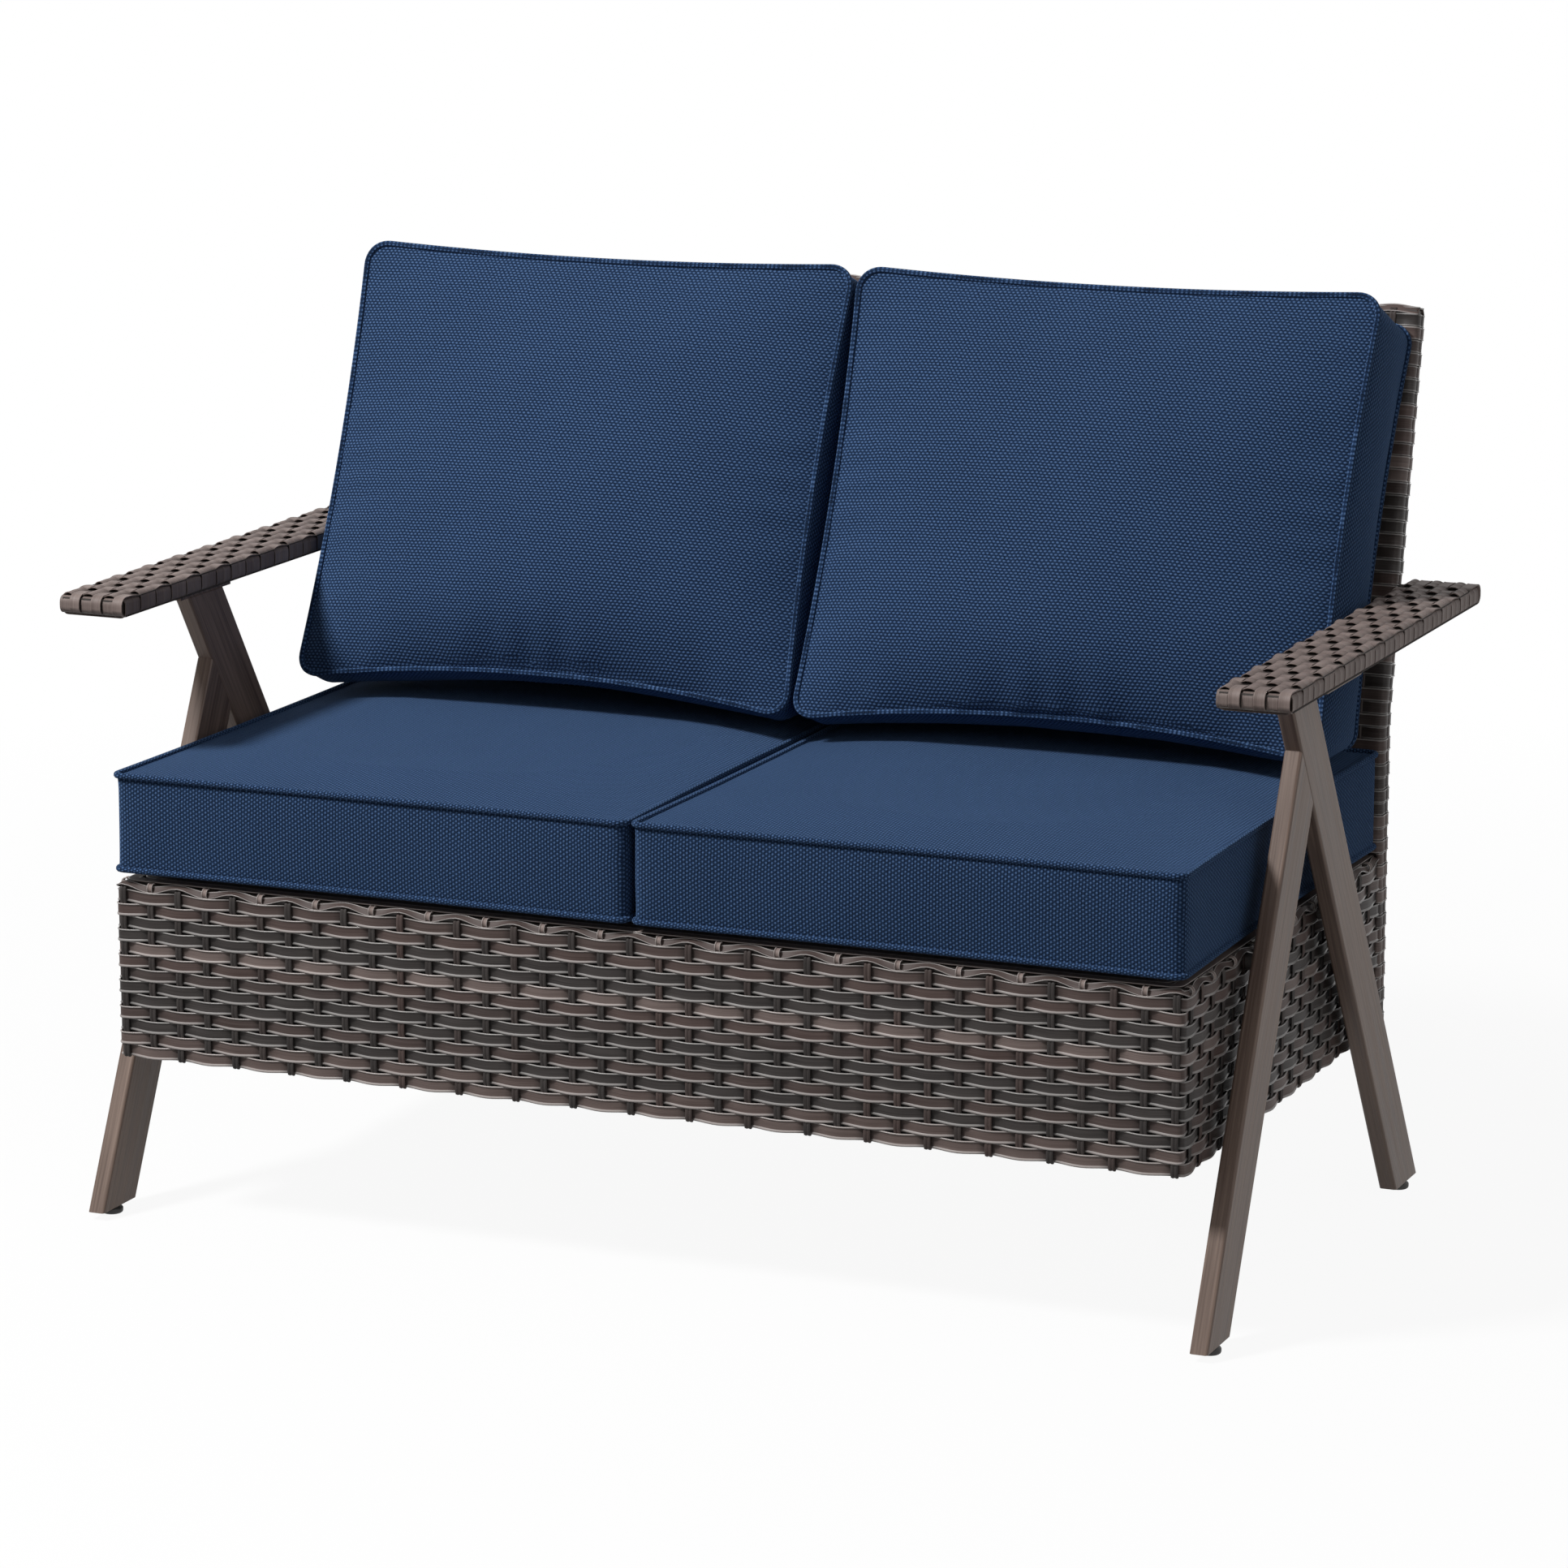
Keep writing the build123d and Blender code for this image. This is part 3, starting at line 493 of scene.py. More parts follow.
def extruded_resin(tree, shader, low, middle, high, least_rough):
    """Extruded resin: a tone per strand, painted lip highlights and recess shade, fine ribs, soft gloss."""
    run = add_node(tree, "ShaderNodeUVMap", uv_map=STRAND_MAP).outputs[0]
    tone = add_node(tree, "ShaderNodeAttribute", attribute_name=TONE).outputs["Fac"]
    painted_shade = add_node(tree, "ShaderNodeAttribute", attribute_name=SHADE).outputs["Fac"]
    base = ramp(tree, tone, [(0.0, low), (0.25, low), (0.6, middle), (1.0, high)])
    streak = stretched_noise(tree, run, (9.0, 8.0, 1.0), detail=3.0)
    drift = stretched_noise(tree, run, (14.0, 0.4, 1.0))
    shade = calc(tree, "MULTIPLY_ADD", streak, 0.55, calc(tree, "MULTIPLY_ADD", drift, 0.5, 0.48))
    dark = blend_colours(tree, 0.45, base, (0.0, 0.0, 0.0))
    lit = blend_colours(tree, 0.05, base, (1.0, 0.93, 0.89))
    worn = blend_colours(tree, calc(tree, "MULTIPLY_ADD", shade, 2.4, -2.0), dark, lit)
    across = add_node(tree, "ShaderNodeSeparateXYZ", {0: run}).outputs[1]
    side = calc(tree, "ABSOLUTE", across)
    # Painted highlight: the strands' lips are blended towards near white, as a glint along them
    lip = add_node(
        tree, "ShaderNodeMapRange", {"Value": side, "From Min": 0.76, "From Max": 0.83}).outputs[0]
    pale = blend_colours(tree, 0.33, base, (1.0, 0.96, 0.93))
    final = blend_colours(tree, calc(tree, "MULTIPLY", lip, 0.9), worn, pale)
    # Painted shade: the strand goes towards black where its point lies deep in the weave
    final = blend_colours(tree, calc(tree, "MULTIPLY", painted_shade, 0.9), final, (0.0, 0.0, 0.0))
    tree.links.new(final, shader.inputs["Base Color"])
    rib = calc(tree, "ABSOLUTE", calc(tree, "SINE", calc(tree, "MULTIPLY", across, 4 * math.pi)))
    height = calc(tree, "MULTIPLY_ADD", streak, 0.6, calc(tree, "MULTIPLY", rib, 0.3))
    bumped(tree, shader, height, distance=0.0002, strength=0.7)
    rough = calc(tree, "MULTIPLY_ADD", calc(tree, "SUBTRACT", 1.0, lip), 0.3, least_rough)
    rough = calc(tree, "MULTIPLY_ADD", painted_shade, 0.3, rough)
    tree.links.new(rough, shader.inputs["Roughness"])
    shader.inputs["Specular IOR Level"].default_value = 0.3


def plain_weave(tree, shader, light, middle, deep, cell, turned, crest):
    """Coarse plain weave: wefts float over every other warp, with painted shade and highlights, soft sheen.
    """
    run = add_node(tree, "ShaderNodeUVMap", uv_map=CLOTH_MAP).outputs[0]
    wobble = add_node(tree, "ShaderNodeTexNoise", {"Vector": run, "Scale": 45.0, "Detail": 1.0})
    shifted = add_node(
        tree, "ShaderNodeVectorMath", {0: wobble.outputs[1], 1: (0.0022, 0.0022, 0.0), 2: run},
        operation="MULTIPLY_ADD").outputs[0]
    parts = add_node(tree, "ShaderNodeSeparateXYZ", {0: shifted})
    along, beside = (1, 0) if turned else (0, 1)
    u = calc(tree, "DIVIDE", parts.outputs[along], cell[0])
    v = calc(tree, "DIVIDE", parts.outputs[beside], cell[1])
    row = calc(tree, "FLOOR", v)
    column = calc(tree, "FLOOR", calc(tree, "ADD", u, 0.5))
    from_row = calc(tree, "SUBTRACT", calc(tree, "SUBTRACT", v, row), 0.5)
    from_column = calc(tree, "SUBTRACT", u, column)
    float_wave = calc(tree, "COSINE", calc(tree, "MULTIPLY", calc(tree, "ADD", u, row), math.pi))
    over = calc(tree, "POWER", calc(tree, "MULTIPLY_ADD", float_wave, 0.499, 0.501), crest)
    weft_round = calc(tree, "COSINE", calc(tree, "MULTIPLY", from_row, 0.94 * math.pi))
    warp_round = calc(tree, "COSINE", calc(tree, "MULTIPLY", from_column, 0.94 * math.pi))
    weft = calc(tree, "MULTIPLY", over, weft_round)
    under = calc(tree, "SUBTRACT", 0.4, calc(tree, "MULTIPLY", over, 0.4))
    height = calc(tree, "MAXIMUM", weft, calc(tree, "MULTIPLY", under, warp_round))
    yarn = add_node(tree, "ShaderNodeTexNoise", {"Vector": run, "Scale": 420.0, "Detail": 2.0}).outputs[0]
    cloud = add_node(tree, "ShaderNodeTexNoise", {"Vector": run, "Scale": 9.0, "Detail": 3.0}).outputs[0]
    mixed = calc(tree, "MULTIPLY_ADD", yarn, 0.5, calc(tree, "MULTIPLY_ADD", cloud, 0.08, -0.29))
    share = calc(tree, "ADD", height, mixed)
    # The colour follows the threads' height: painted shade in the gaps, painted highlight on the tops
    tree.links.new(
        ramp(tree, share, [(0.1, deep), (0.5, middle), (0.92, light)]), shader.inputs["Base Color"])
    bumped(tree, shader, height, distance=0.0009, strength=0.8)
    shader.inputs["Roughness"].default_value = 0.88
    shader.inputs["Specular IOR Level"].default_value = 0.1
    shader.inputs["Sheen Weight"].default_value = 0.30
    shader.inputs["Sheen Roughness"].default_value = 0.5
    shader.inputs["Sheen Tint"].default_value = (0.30, 0.52, 0.95, 1.0)


def printed_grain(tree, shader, light, dark, tilt):
    """Steel tube with a printed wood grain that runs along a leg tilted about X."""
    place = add_node(tree, "ShaderNodeTexCoord").outputs["Object"]
    turned = add_node(
        tree, "ShaderNodeMapping", {"Vector": place, "Rotation": (tilt, 0.0, 0.0)}).outputs[0]
    fine = stretched_noise(tree, turned, (420.0, 420.0, 9.0), detail=4.0)
    broad = stretched_noise(tree, turned, (90.0, 90.0, 3.2), detail=3.0)
    mixed = calc(tree, "MULTIPLY_ADD", fine, 0.55, calc(tree, "MULTIPLY", broad, 0.5))
    share = calc(tree, "MULTIPLY_ADD", mixed, 3.4, -1.25)
    tree.links.new(blend_colours(tree, share, dark, light), shader.inputs["Base Color"])
    bumped(tree, shader, fine, distance=0.00014, strength=0.6)
    rough = calc(tree, "MULTIPLY_ADD", broad, 0.2, 0.4)
    tree.links.new(rough, shader.inputs["Roughness"])
    shader.inputs["Specular IOR Level"].default_value = 0.4


def speckled(tree, shader, base, scale, metal, rough, relief):
    """Paint, plating or moulded plastic with a fine orange-peel relief and slight wear."""
    place = add_node(tree, "ShaderNodeTexCoord").outputs["Object"]
    grain = add_node(tree, "ShaderNodeTexNoise", {"Vector": place, "Scale": scale, "Detail": 3.0}).outputs[0]
    cloud = add_node(tree, "ShaderNodeTexNoise", {"Vector": place, "Scale": 14.0, "Detail": 4.0}).outputs[0]
    dark = tuple(0.72 * part for part in base)
    pale = tuple(min(1.0, 1.18 * part) for part in base)
    share = calc(tree, "MULTIPLY_ADD", grain, 0.6, calc(tree, "MULTIPLY_ADD", cloud, 0.9, -0.3))
    tree.links.new(blend_colours(tree, share, dark, pale), shader.inputs["Base Color"])
    tree.links.new(calc(tree, "MULTIPLY_ADD", cloud, 0.2, rough - 0.1), shader.inputs["Roughness"])
    bumped(tree, shader, grain, distance=relief, strength=0.6)
    shader.inputs["Metallic"].default_value = metal


def colours():
    """The colours that the panel offers."""
    return bpy.context.scene.loveseat_finishes


def woven_resin():
    c = colours()
    return painted("woven_resin", extruded_resin,
                   low=c.resin_dark, middle=c.resin_brown, high=c.resin_light, least_rough=0.26)


# Nearly black cloth for the sheets that stand in for the shade inside the weave
def shadow_sheet_cloth():
    return painted("shadow_sheet_cloth", speckled,
                   base=colours().shadow_sheet, scale=1200.0, metal=0.0, rough=0.9, relief=0.0002)


def moulded_nylon():
    return painted("moulded_nylon", speckled,
                   base=colours().glide, scale=700.0, metal=0.0, rough=0.55, relief=0.0001)


def cushion_fabric(name, cell, turned, crest):
    """Cushion fabric whose threads float over one cell, along the cushion's depth where it is turned."""
    c = colours()
    return painted(name, plain_weave, light=c.fabric_highlight, middle=c.fabric, deep=c.fabric_shade,
                   cell=cell, turned=turned, crest=crest)


def ready(piece, body, slot, *nodes):
    """Puts a finished piece on its body, in place of the plain nodes that it dresses."""
    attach(piece, body)
    if nodes:
        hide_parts(*nodes)


def woven(strips, name, *nodes):
    """Makes a piece of the resin weave, which belongs to the frame."""
    ready(strips.piece(name, woven_resin()), "frame", "resin_weave", *nodes)


def as_shadow_sheet(strips, name):
    """Makes a piece of the dark sheet behind the weave, which stands in for the shade inside it."""
    ready(strips.piece(name, shadow_sheet_cloth()), "frame", "resin_weave")


# Woven skirt and back panel

def skirt_place():
    """Corners of the woven skirt: half its width, its front, its back, and its bottom and top."""
    low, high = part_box("skirt_weave_left")
    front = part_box("skirt_weave_front")[0]
    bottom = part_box("skirt_binding_bottom")[0]
    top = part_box("skirt_binding_top")[1]
    return -low.x, front.y, high.y, bottom.z, top.z


def skirt_way(inset=0.0, radius=None):
    """Plan line of the skirt, or of one inside it, from the left rear round to the right rear."""
    half, front, rear, _, _ = skirt_place()
    half -= inset
    front += inset
    radius = radius or bpy.context.scene.loveseat_weave.corner
    left, left_out = arc((-half + radius, front + radius), radius, 180, 270)
    right, right_out = arc((half - radius, front + radius), radius, 270, 360)
    points = [(-half, rear), *left, *right, (half, rear)]
    outward = [(-1.0, 0.0), *left_out, *right_out, (1.0, 0.0)]
    return Way(points, outward)


def skirt_stakes(way):
    """Distances of the stakes along the skirt's line."""
    sizes = bpy.context.scene.loveseat_weave
    half, front, rear, _, _ = skirt_place()
    depth = rear - front
    arc_length = math.pi * sizes.corner / 2
    at_side = int((depth - sizes.side_stake) / sizes.side_pitch) + 1
    side = [sizes.side_stake + k * sizes.side_pitch for k in range(at_side)]
    left = [depth - place for place in reversed(side)]
    front_start = depth - sizes.corner + arc_length
    reach = 2 * (half - sizes.end_stake)
    gaps = round(reach / sizes.stake_pitch)
    first = front_start - (sizes.corner - sizes.end_stake)
    middle = [first + k * reach / gaps for k in range(gaps + 1)]
    right = [way.end - depth + place for place in side]
    return np.array(left + middle + right)


def in_plan(points, z):
    """Points of a plan line at a height."""
    return np.column_stack([points, np.broadcast_to(z, len(points))])


class LOVESEAT_OT_skirt(bpy.types.Operator):
    """Weave the skirt round the seat box"""

    bl_idname = "loveseat.skirt"
    bl_label = "Weave skirt"

    def execute(self, context):
        sizes = context.scene.loveseat_weave
        _, _, _, bottom, top = skirt_place()
        way = skirt_way()
        stakes = skirt_stakes(way)
        levels = outer, inner = woven_levels(sizes.strand_thickness, sizes.lip, sizes.layer)
        low = bottom + sizes.hem
        step = (top - sizes.brim - low) / sizes.rows
        distance = np.union1d(stations(way.end, stakes, between=5), way.run)
        place, out = way.at(distance)
        profile = strand_profile(sizes.strand_width, sizes.strand_thickness, sizes.lip, heavy=1.6)
        strands = Strips()
        for row in range(sizes.rows):
            depth = wave(distance, stakes, row, inner, outer)
            droop = sizes.droop * (depth - inner) / (outer - inner)
            line = in_plan(place + out * depth[:, None], low + (row + 0.5) * step - droop)
            tone = SKIRT_TONES[row % len(SKIRT_TONES)]
            # Painted shade: a strand darkens where it dips behind a stake
            painted_shade = painted_shade_of(depth, inner, outer, most=0.95, power=5.0)
            strands.sweep(line, (0, 0, 1), in_plan(out, 0.0), profile, tone, painted_shade)
        woven(strands, "skirt_strands", "skirt_weave_front", "skirt_weave_left", "skirt_weave_right",
              "skirt_corner_left", "skirt_corner_right")
        uprights = Strips()
        loops = Strips()
        for k, s in enumerate(stakes):
            spots, outs = way.at(np.array([s]))
            skirt_stake(uprights, spots[0], outs[0], k, low, step, levels, bottom, top)
            if (k + sizes.rows - 1) % 2 == 0:
                skirt_loop(loops, spots[0], outs[0], top)
        woven(uprights, "skirt_stakes", "skirt_binding_bottom")
        rise = wave(distance, stakes, sizes.rows, 0.0, 1.0)
        woven(self.braid(sizes, place, out, top, rise), "skirt_top_braid", "skirt_binding_top")
        woven(loops, "skirt_edge_loops")
        # A nearly black sheet inside the skirt stands in for the shade in the seat box, seen through the
        # weave's gaps
        shadow_sheet = Strips()
        below_braid = 0.010
        half = (top - below_braid - low) / 2
        line = in_plan(place - out * sizes.shadow_sheet_inset, low + half)
        shadow_sheet.sweep(line, (0, 0, 1), in_plan(out, 0.0), cloth_profile(half), tone=0.0, painted_shade=0.9)
        as_shadow_sheet(shadow_sheet, "skirt_shadow_sheet")
        return {"FINISHED"}

    @staticmethod
    def braid(sizes, place, out, top, rise):
        """The top edge: a strand that rises over the stakes and dips at the loops, and a flat rim."""
        strips = Strips()
        station, low_tilt, more_tilt, low_depth, more_depth = 0.03, 30, 40, 0.0034, 0.0012
        rim = strand_profile(sizes.rim_width, sizes.strand_thickness, 0.5 * sizes.fine_lip)
        for k in range(sizes.rim_strands):
            inset = sizes.rim_inset + k * (sizes.rim_width + sizes.rim_gap)
            inner = skirt_way(inset, 0.5 * sizes.rim_width + 0.0002)
            spots, facing = inner.at(np.union1d(np.arange(0, inner.end, station), inner.run))
            line = in_plan(spots, top - sizes.rim_drop)
            strips.sweep(line, in_plan(facing, 0.0), (0, 0, 1), rim, tone=0.95)
        tilt = np.radians(low_tilt + more_tilt * rise)
        depth = -low_depth - more_depth * rise
        line = in_plan(place + out * depth[:, None], top - sizes.braid_drop + sizes.braid_rise * rise)
        outward = in_plan(out * np.cos(tilt)[:, None], np.sin(tilt))
        across = in_plan(out * -np.sin(tilt)[:, None], np.cos(tilt))
        slim = strand_profile(sizes.braid_width, sizes.strand_thickness, 0.6 * sizes.lip)
        strips.sweep(line, across, outward, slim, tone=0.5)
        return strips


def skirt_stake(strips, spot, out, index, low, step, levels, bottom, top):
    """One upright stake of the skirt, in front of every other row and folded in at both ends."""
    sizes = bpy.context.scene.loveseat_weave
    outer, inner = levels
    rib = 0.0008
    behind = outer - sizes.strand_thickness / 2 - rib
    before = inner + sizes.strand_thickness / 2 + sizes.lip + 1.8 * rib
    path = [(bottom + rise, depth) for rise, depth in STAKE_FOOT]
    for row in range(sizes.rows):
        covered = (index + row) % 2 == 0
        path += [(low + (row + share) * step, behind if covered else before) for share in (0.2, 0.5, 0.8)]
    path += [(top + rise, depth) for rise, depth in (STAKE_TUCKED if covered else STAKE_FOLDED)]
    z, depth = np.array(path).T
    # Painted shade: the stakes are darkened a little all along
    upright_strip(strips, spot, out, z, depth, stake_profile(sizes.stake_width),
                  tone=tone_of(index + SKIRT_STAKE_TONES, high=0.6), painted_shade=0.15)


def skirt_loop(strips, spot, out, top):
    """A stake's end that comes out over the top row and loops over the braid."""
    rise, depth = np.array(STAKE_LOOP).T
    width, thin = 0.76 * bpy.context.scene.loveseat_weave.stake_width, 0.0008
    profile = strand_profile(width, thin, thin, fine=False)
    upright_strip(strips, spot, out, top + rise, depth, profile, tone=1.0)


def upright_strip(strips, spot, out, z, depth, profile, tone, painted_shade=0.0):
    """Sweeps a strip up a wall at one spot of its plan, facing outwards."""
    line = in_plan(spot[None, :] + out[None, :] * depth[:, None], z)
    side = np.array([-out[1], out[0], 0.0])
    along = np.gradient(line, axis=0)
    along /= np.linalg.norm(along, axis=1, keepdims=True)
    facing = np.cross(side, along)
    if facing[len(z) // 2] @ np.array([out[0], out[1], 0.0]) < 0:
        facing = -facing
    strips.sweep(line, side, facing, profile, tone, painted_shade)


def in_side(y, z, x=0.0):
    """Points or directions in a side view, at an x."""
    return np.column_stack([np.broadcast_to(x, len(y)), y, z])


class PanelLine:
    """Side line of the back panel: upright, then bent smoothly backwards."""

    def __init__(self):
        sizes = bpy.context.scene.loveseat_panel
        _, _, rear, bottom, _ = skirt_place()
        self.thickness = sizes.thickness
        self.start = bottom - sizes.bend_height
        self.stop = sizes.upper_length
        along = np.linspace(self.start, self.stop, 800)
        share = np.clip(along / sizes.bend_length + 0.5, 0, 1)
        turn = sizes.lean * share * share * (3 - 2 * share)
        step = along[1] - along[0]
        y = rear + np.concatenate([[0], np.cumsum(np.sin(turn[1:]) * step)])
        z = bottom + np.concatenate([[0], np.cumsum(np.cos(turn[1:]) * step)])
        self.along, self.y, self.z, self.turn = along, y, z, turn
        self.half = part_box("back_edge_wrap_right")[1].x

    def at(self, along, depth):
        """Places at a distance along the line and a depth behind its front, and the turn there."""
        y, z, turn = (np.interp(along, self.along, values) for values in (self.y, self.z, self.turn))
        return y + depth * np.cos(turn), z - depth * np.sin(turn), turn


class LOVESEAT_OT_back_panel(bpy.types.Operator):
    """Weave both faces, the sides and the top edge of the back panel"""

    bl_idname = "loveseat.back_panel"
    bl_label = "Weave back panel"

    def execute(self, context):
        weave = context.scene.loveseat_weave
        sizes = context.scene.loveseat_panel
        panel = PanelLine()
        reach = panel.half - sizes.end_stake
        columns = np.linspace(-reach, reach, sizes.stake_gaps + 1)
        levels = woven_levels(weave.strand_thickness, weave.fine_lip, sizes.skin)
        first = panel.start + sizes.hem
        step = (panel.stop - sizes.brim - first) / weave.back_rows
        _, _, _, bottom, top = skirt_place()
        hidden = math.ceil((top - bottom) / step)
        front = self.face(panel, columns, levels, first, step, True, hidden)
        woven(front, "back_strands_front", "back_weave_front", "back_edge_wrap_left", "back_edge_wrap_right")
        rear = self.face(panel, columns, levels, first, step, False, 0)
        woven(rear, "back_strands_rear", "back_weave_rear")
        uprights = Strips()
        loops = Strips()
        for k, x in enumerate(columns):
            panel_stake(uprights, panel, x, k, first, step, levels, True, hidden)
            panel_stake(uprights, panel, x, k, first, step, levels, False, 0)
            if (k + weave.back_rows - 1) % 2 == 0:
                panel_loop(loops, panel, x, tone_of(k + LOOP_TONES))
        woven(uprights, "back_stakes")
        woven(loops, "back_edge_loops")
        woven(self.top_edge(panel, columns), "back_top_braid", "back_top_wrap")
        as_shadow_sheet(self.shadow_sheet(panel), "back_shadow_sheet")
        return {"FINISHED"}

    @staticmethod
    def shadow_sheet(panel):
        """Dark sheet just inside the rear weave, seen only through its gaps, standing in for shade there."""
        skin = bpy.context.scene.loveseat_panel.skin
        foot, head, side, behind = 0.004, 0.012, 0.008, 0.0002
        along = np.linspace(panel.start + foot, panel.stop - head, 60)
        y, z, turn = panel.at(along, panel.thickness - skin - behind)
        facing = in_side(np.cos(turn), -np.sin(turn))
        strips = Strips()
        cloth = cloth_profile(panel.half - side)
        strips.sweep(in_side(y, z), (1, 0, 0), facing, cloth, tone=0.0, painted_shade=0.9)
        return strips

    @staticmethod
    def face(panel, columns, levels, first, step, front, hidden):
        """The strands of one face, which reach half way round both edges of the panel."""
        sizes = bpy.context.scene.loveseat_weave
        profile = strand_profile(sizes.strand_width, sizes.strand_thickness, sizes.fine_lip, fine=False)
        outer, inner = levels
        way = panel_face_way(panel, front)
        stakes = columns + way.end / 2
        edges = [np.linspace(0, stakes[0], 10), np.linspace(stakes[-1], way.end, 10)]
        distance = np.unique(np.concatenate([stations(way.end, stakes, 3 if front else 4), *edges]))
        place, out = way.at(distance)
        edge_band, end_band, step_back = 0.016, 0.008, 0.0008
        near_edge = np.abs(place[:, 0]) > panel.half - edge_band
        both_ends = place[:, 0] < -panel.half + end_band, place[:, 0] > panel.half - end_band
        strips = Strips()
        for row, tone in enumerate(row_tones(sizes.back_rows)):
            depth = wave(distance, stakes, row, inner, outer)
            depth = np.where(near_edge, outer if row % 2 == 0 else outer - step_back, depth)
            spots = place + out * depth[:, None]
            y, z, turn = panel.at(first + (row + 0.5) * step, spots[:, 1])
            line = in_side(y, z, spots[:, 0])
            facing = in_side(out[:, 1] * np.cos(turn), -out[:, 1] * np.sin(turn), out[:, 0])
            across = (0, np.sin(turn), np.cos(turn))
            # Painted shade: a strand darkens where it dips behind a stake
            painted_shade = painted_shade_of(depth, inner, outer, most=0.75)
            for part in both_ends if row < hidden else (slice(None),):
                strips.sweep(line[part], across, facing[part], profile, tone, painted_shade[part])
        return strips

    @staticmethod
    def top_edge(panel, columns):
        """The panel's top edge: a flat strand between two braided ones."""
        weave = bpy.context.scene.loveseat_weave
        sizes = bpy.context.scene.loveseat_panel
        inset, swing, corner, lean, sunk = 0.002, 0.0026, 0.0056, 50, 0.0022
        x = np.linspace(inset - panel.half, panel.half - inset, 8 * (len(columns) - 1))
        rise = wave(x, columns, weave.back_rows, 0.0, swing)
        strips = Strips()
        for depth, tilt, height, width, tone in (
                (corner, -lean, rise - corner, sizes.slim_strand, 0.6),
                (panel.thickness - corner, lean, rise - corner, sizes.slim_strand, 0.5),
                (panel.thickness / 2, 0, np.full(len(x), -sunk), sizes.flat_strand, 0.35)):
            y, z, turn = panel.at(panel.stop + height, depth)
            turn = turn + math.radians(tilt)
            profile = strand_profile(width, weave.strand_thickness, weave.fine_lip)
            facing = in_side(np.sin(turn), np.cos(turn))
            across = in_side(np.cos(turn), -np.sin(turn))
            strips.sweep(in_side(y, z, x), across, facing, profile, tone)
        return strips


def panel_face_way(panel, front):
    """Line across one face of the panel and half way round both edges, as (x, depth)."""
    edge = bpy.context.scene.loveseat_panel.edge_radius
    half, deep = panel.half, panel.thickness
    side, centre, gap = (270, edge, 0.0005) if front else (90, deep - edge, -0.0005)
    left, left_out = arc((-half + edge, centre), edge, 180, side, 6)
    right, right_out = arc((half - edge, centre), edge, side, 360 if front else 0, 6)
    points = [(-half, deep / 2 + gap), *left, *right, (half, deep / 2 + gap)]
    return Way(points, [(-1.0, 0.0), *left_out, *right_out, (1.0, 0.0)])


def panel_stake(strips, panel, x, index, first, step, levels, front, hidden):
    """One stake on one face of the panel, in front of every other row."""
    sizes = bpy.context.scene.loveseat_weave
    outer, inner = levels
    rib, end_drop, end_tuck = 0.0006, 0.003, 0.001
    behind = outer - sizes.strand_thickness / 2 - rib
    before = inner + sizes.strand_thickness / 2 + rib
    path = []
    for row in range(hidden, sizes.back_rows):
        covered = (index + row) % 2 == 0
        path += [(first + (row + share) * step, behind if covered else before) for share in (0.22, 0.78)]
    along, depth = np.array(path + [(panel.stop - end_drop, behind - end_tuck)]).T
    y, z, turn = panel.at(along, -depth if front else panel.thickness + depth)
    sign = -1.0 if front else 1.0
    facing = in_side(sign * np.cos(turn), -sign * np.sin(turn))
    tone = tone_of(index + PANEL_STAKE_TONES, high=0.6)
    # Painted shade: the stakes are darkened a little all along
    strips.sweep(in_side(y, z, x), (1, 0, 0), facing, stake_profile(sizes.stake_width), tone, painted_shade=0.15)


def panel_loop(strips, panel, x, tone):
    """A stake's end looped over the top edge of the panel, from face to face."""
    turn = np.radians(np.linspace(180, 0, 11))
    middle = panel.thickness / 2
    foot, rise, inset, below = 0.0090, 0.0082, 0.0016, 0.02
    y, z, _ = panel.at(panel.stop - foot + rise * np.sqrt(np.sin(turn)),
                       middle + (middle - inset) * np.cos(turn))
    centre_y, centre_z, _ = panel.at(panel.stop - below, middle)
    facing = in_side(y - centre_y, z - centre_z)
    facing /= np.linalg.norm(facing, axis=1, keepdims=True)
    profile = stake_profile(0.9 * bpy.context.scene.loveseat_weave.stake_width)
    strips.sweep(in_side(y, z, x), (1, 0, 0), facing, profile, tone)


# Arms

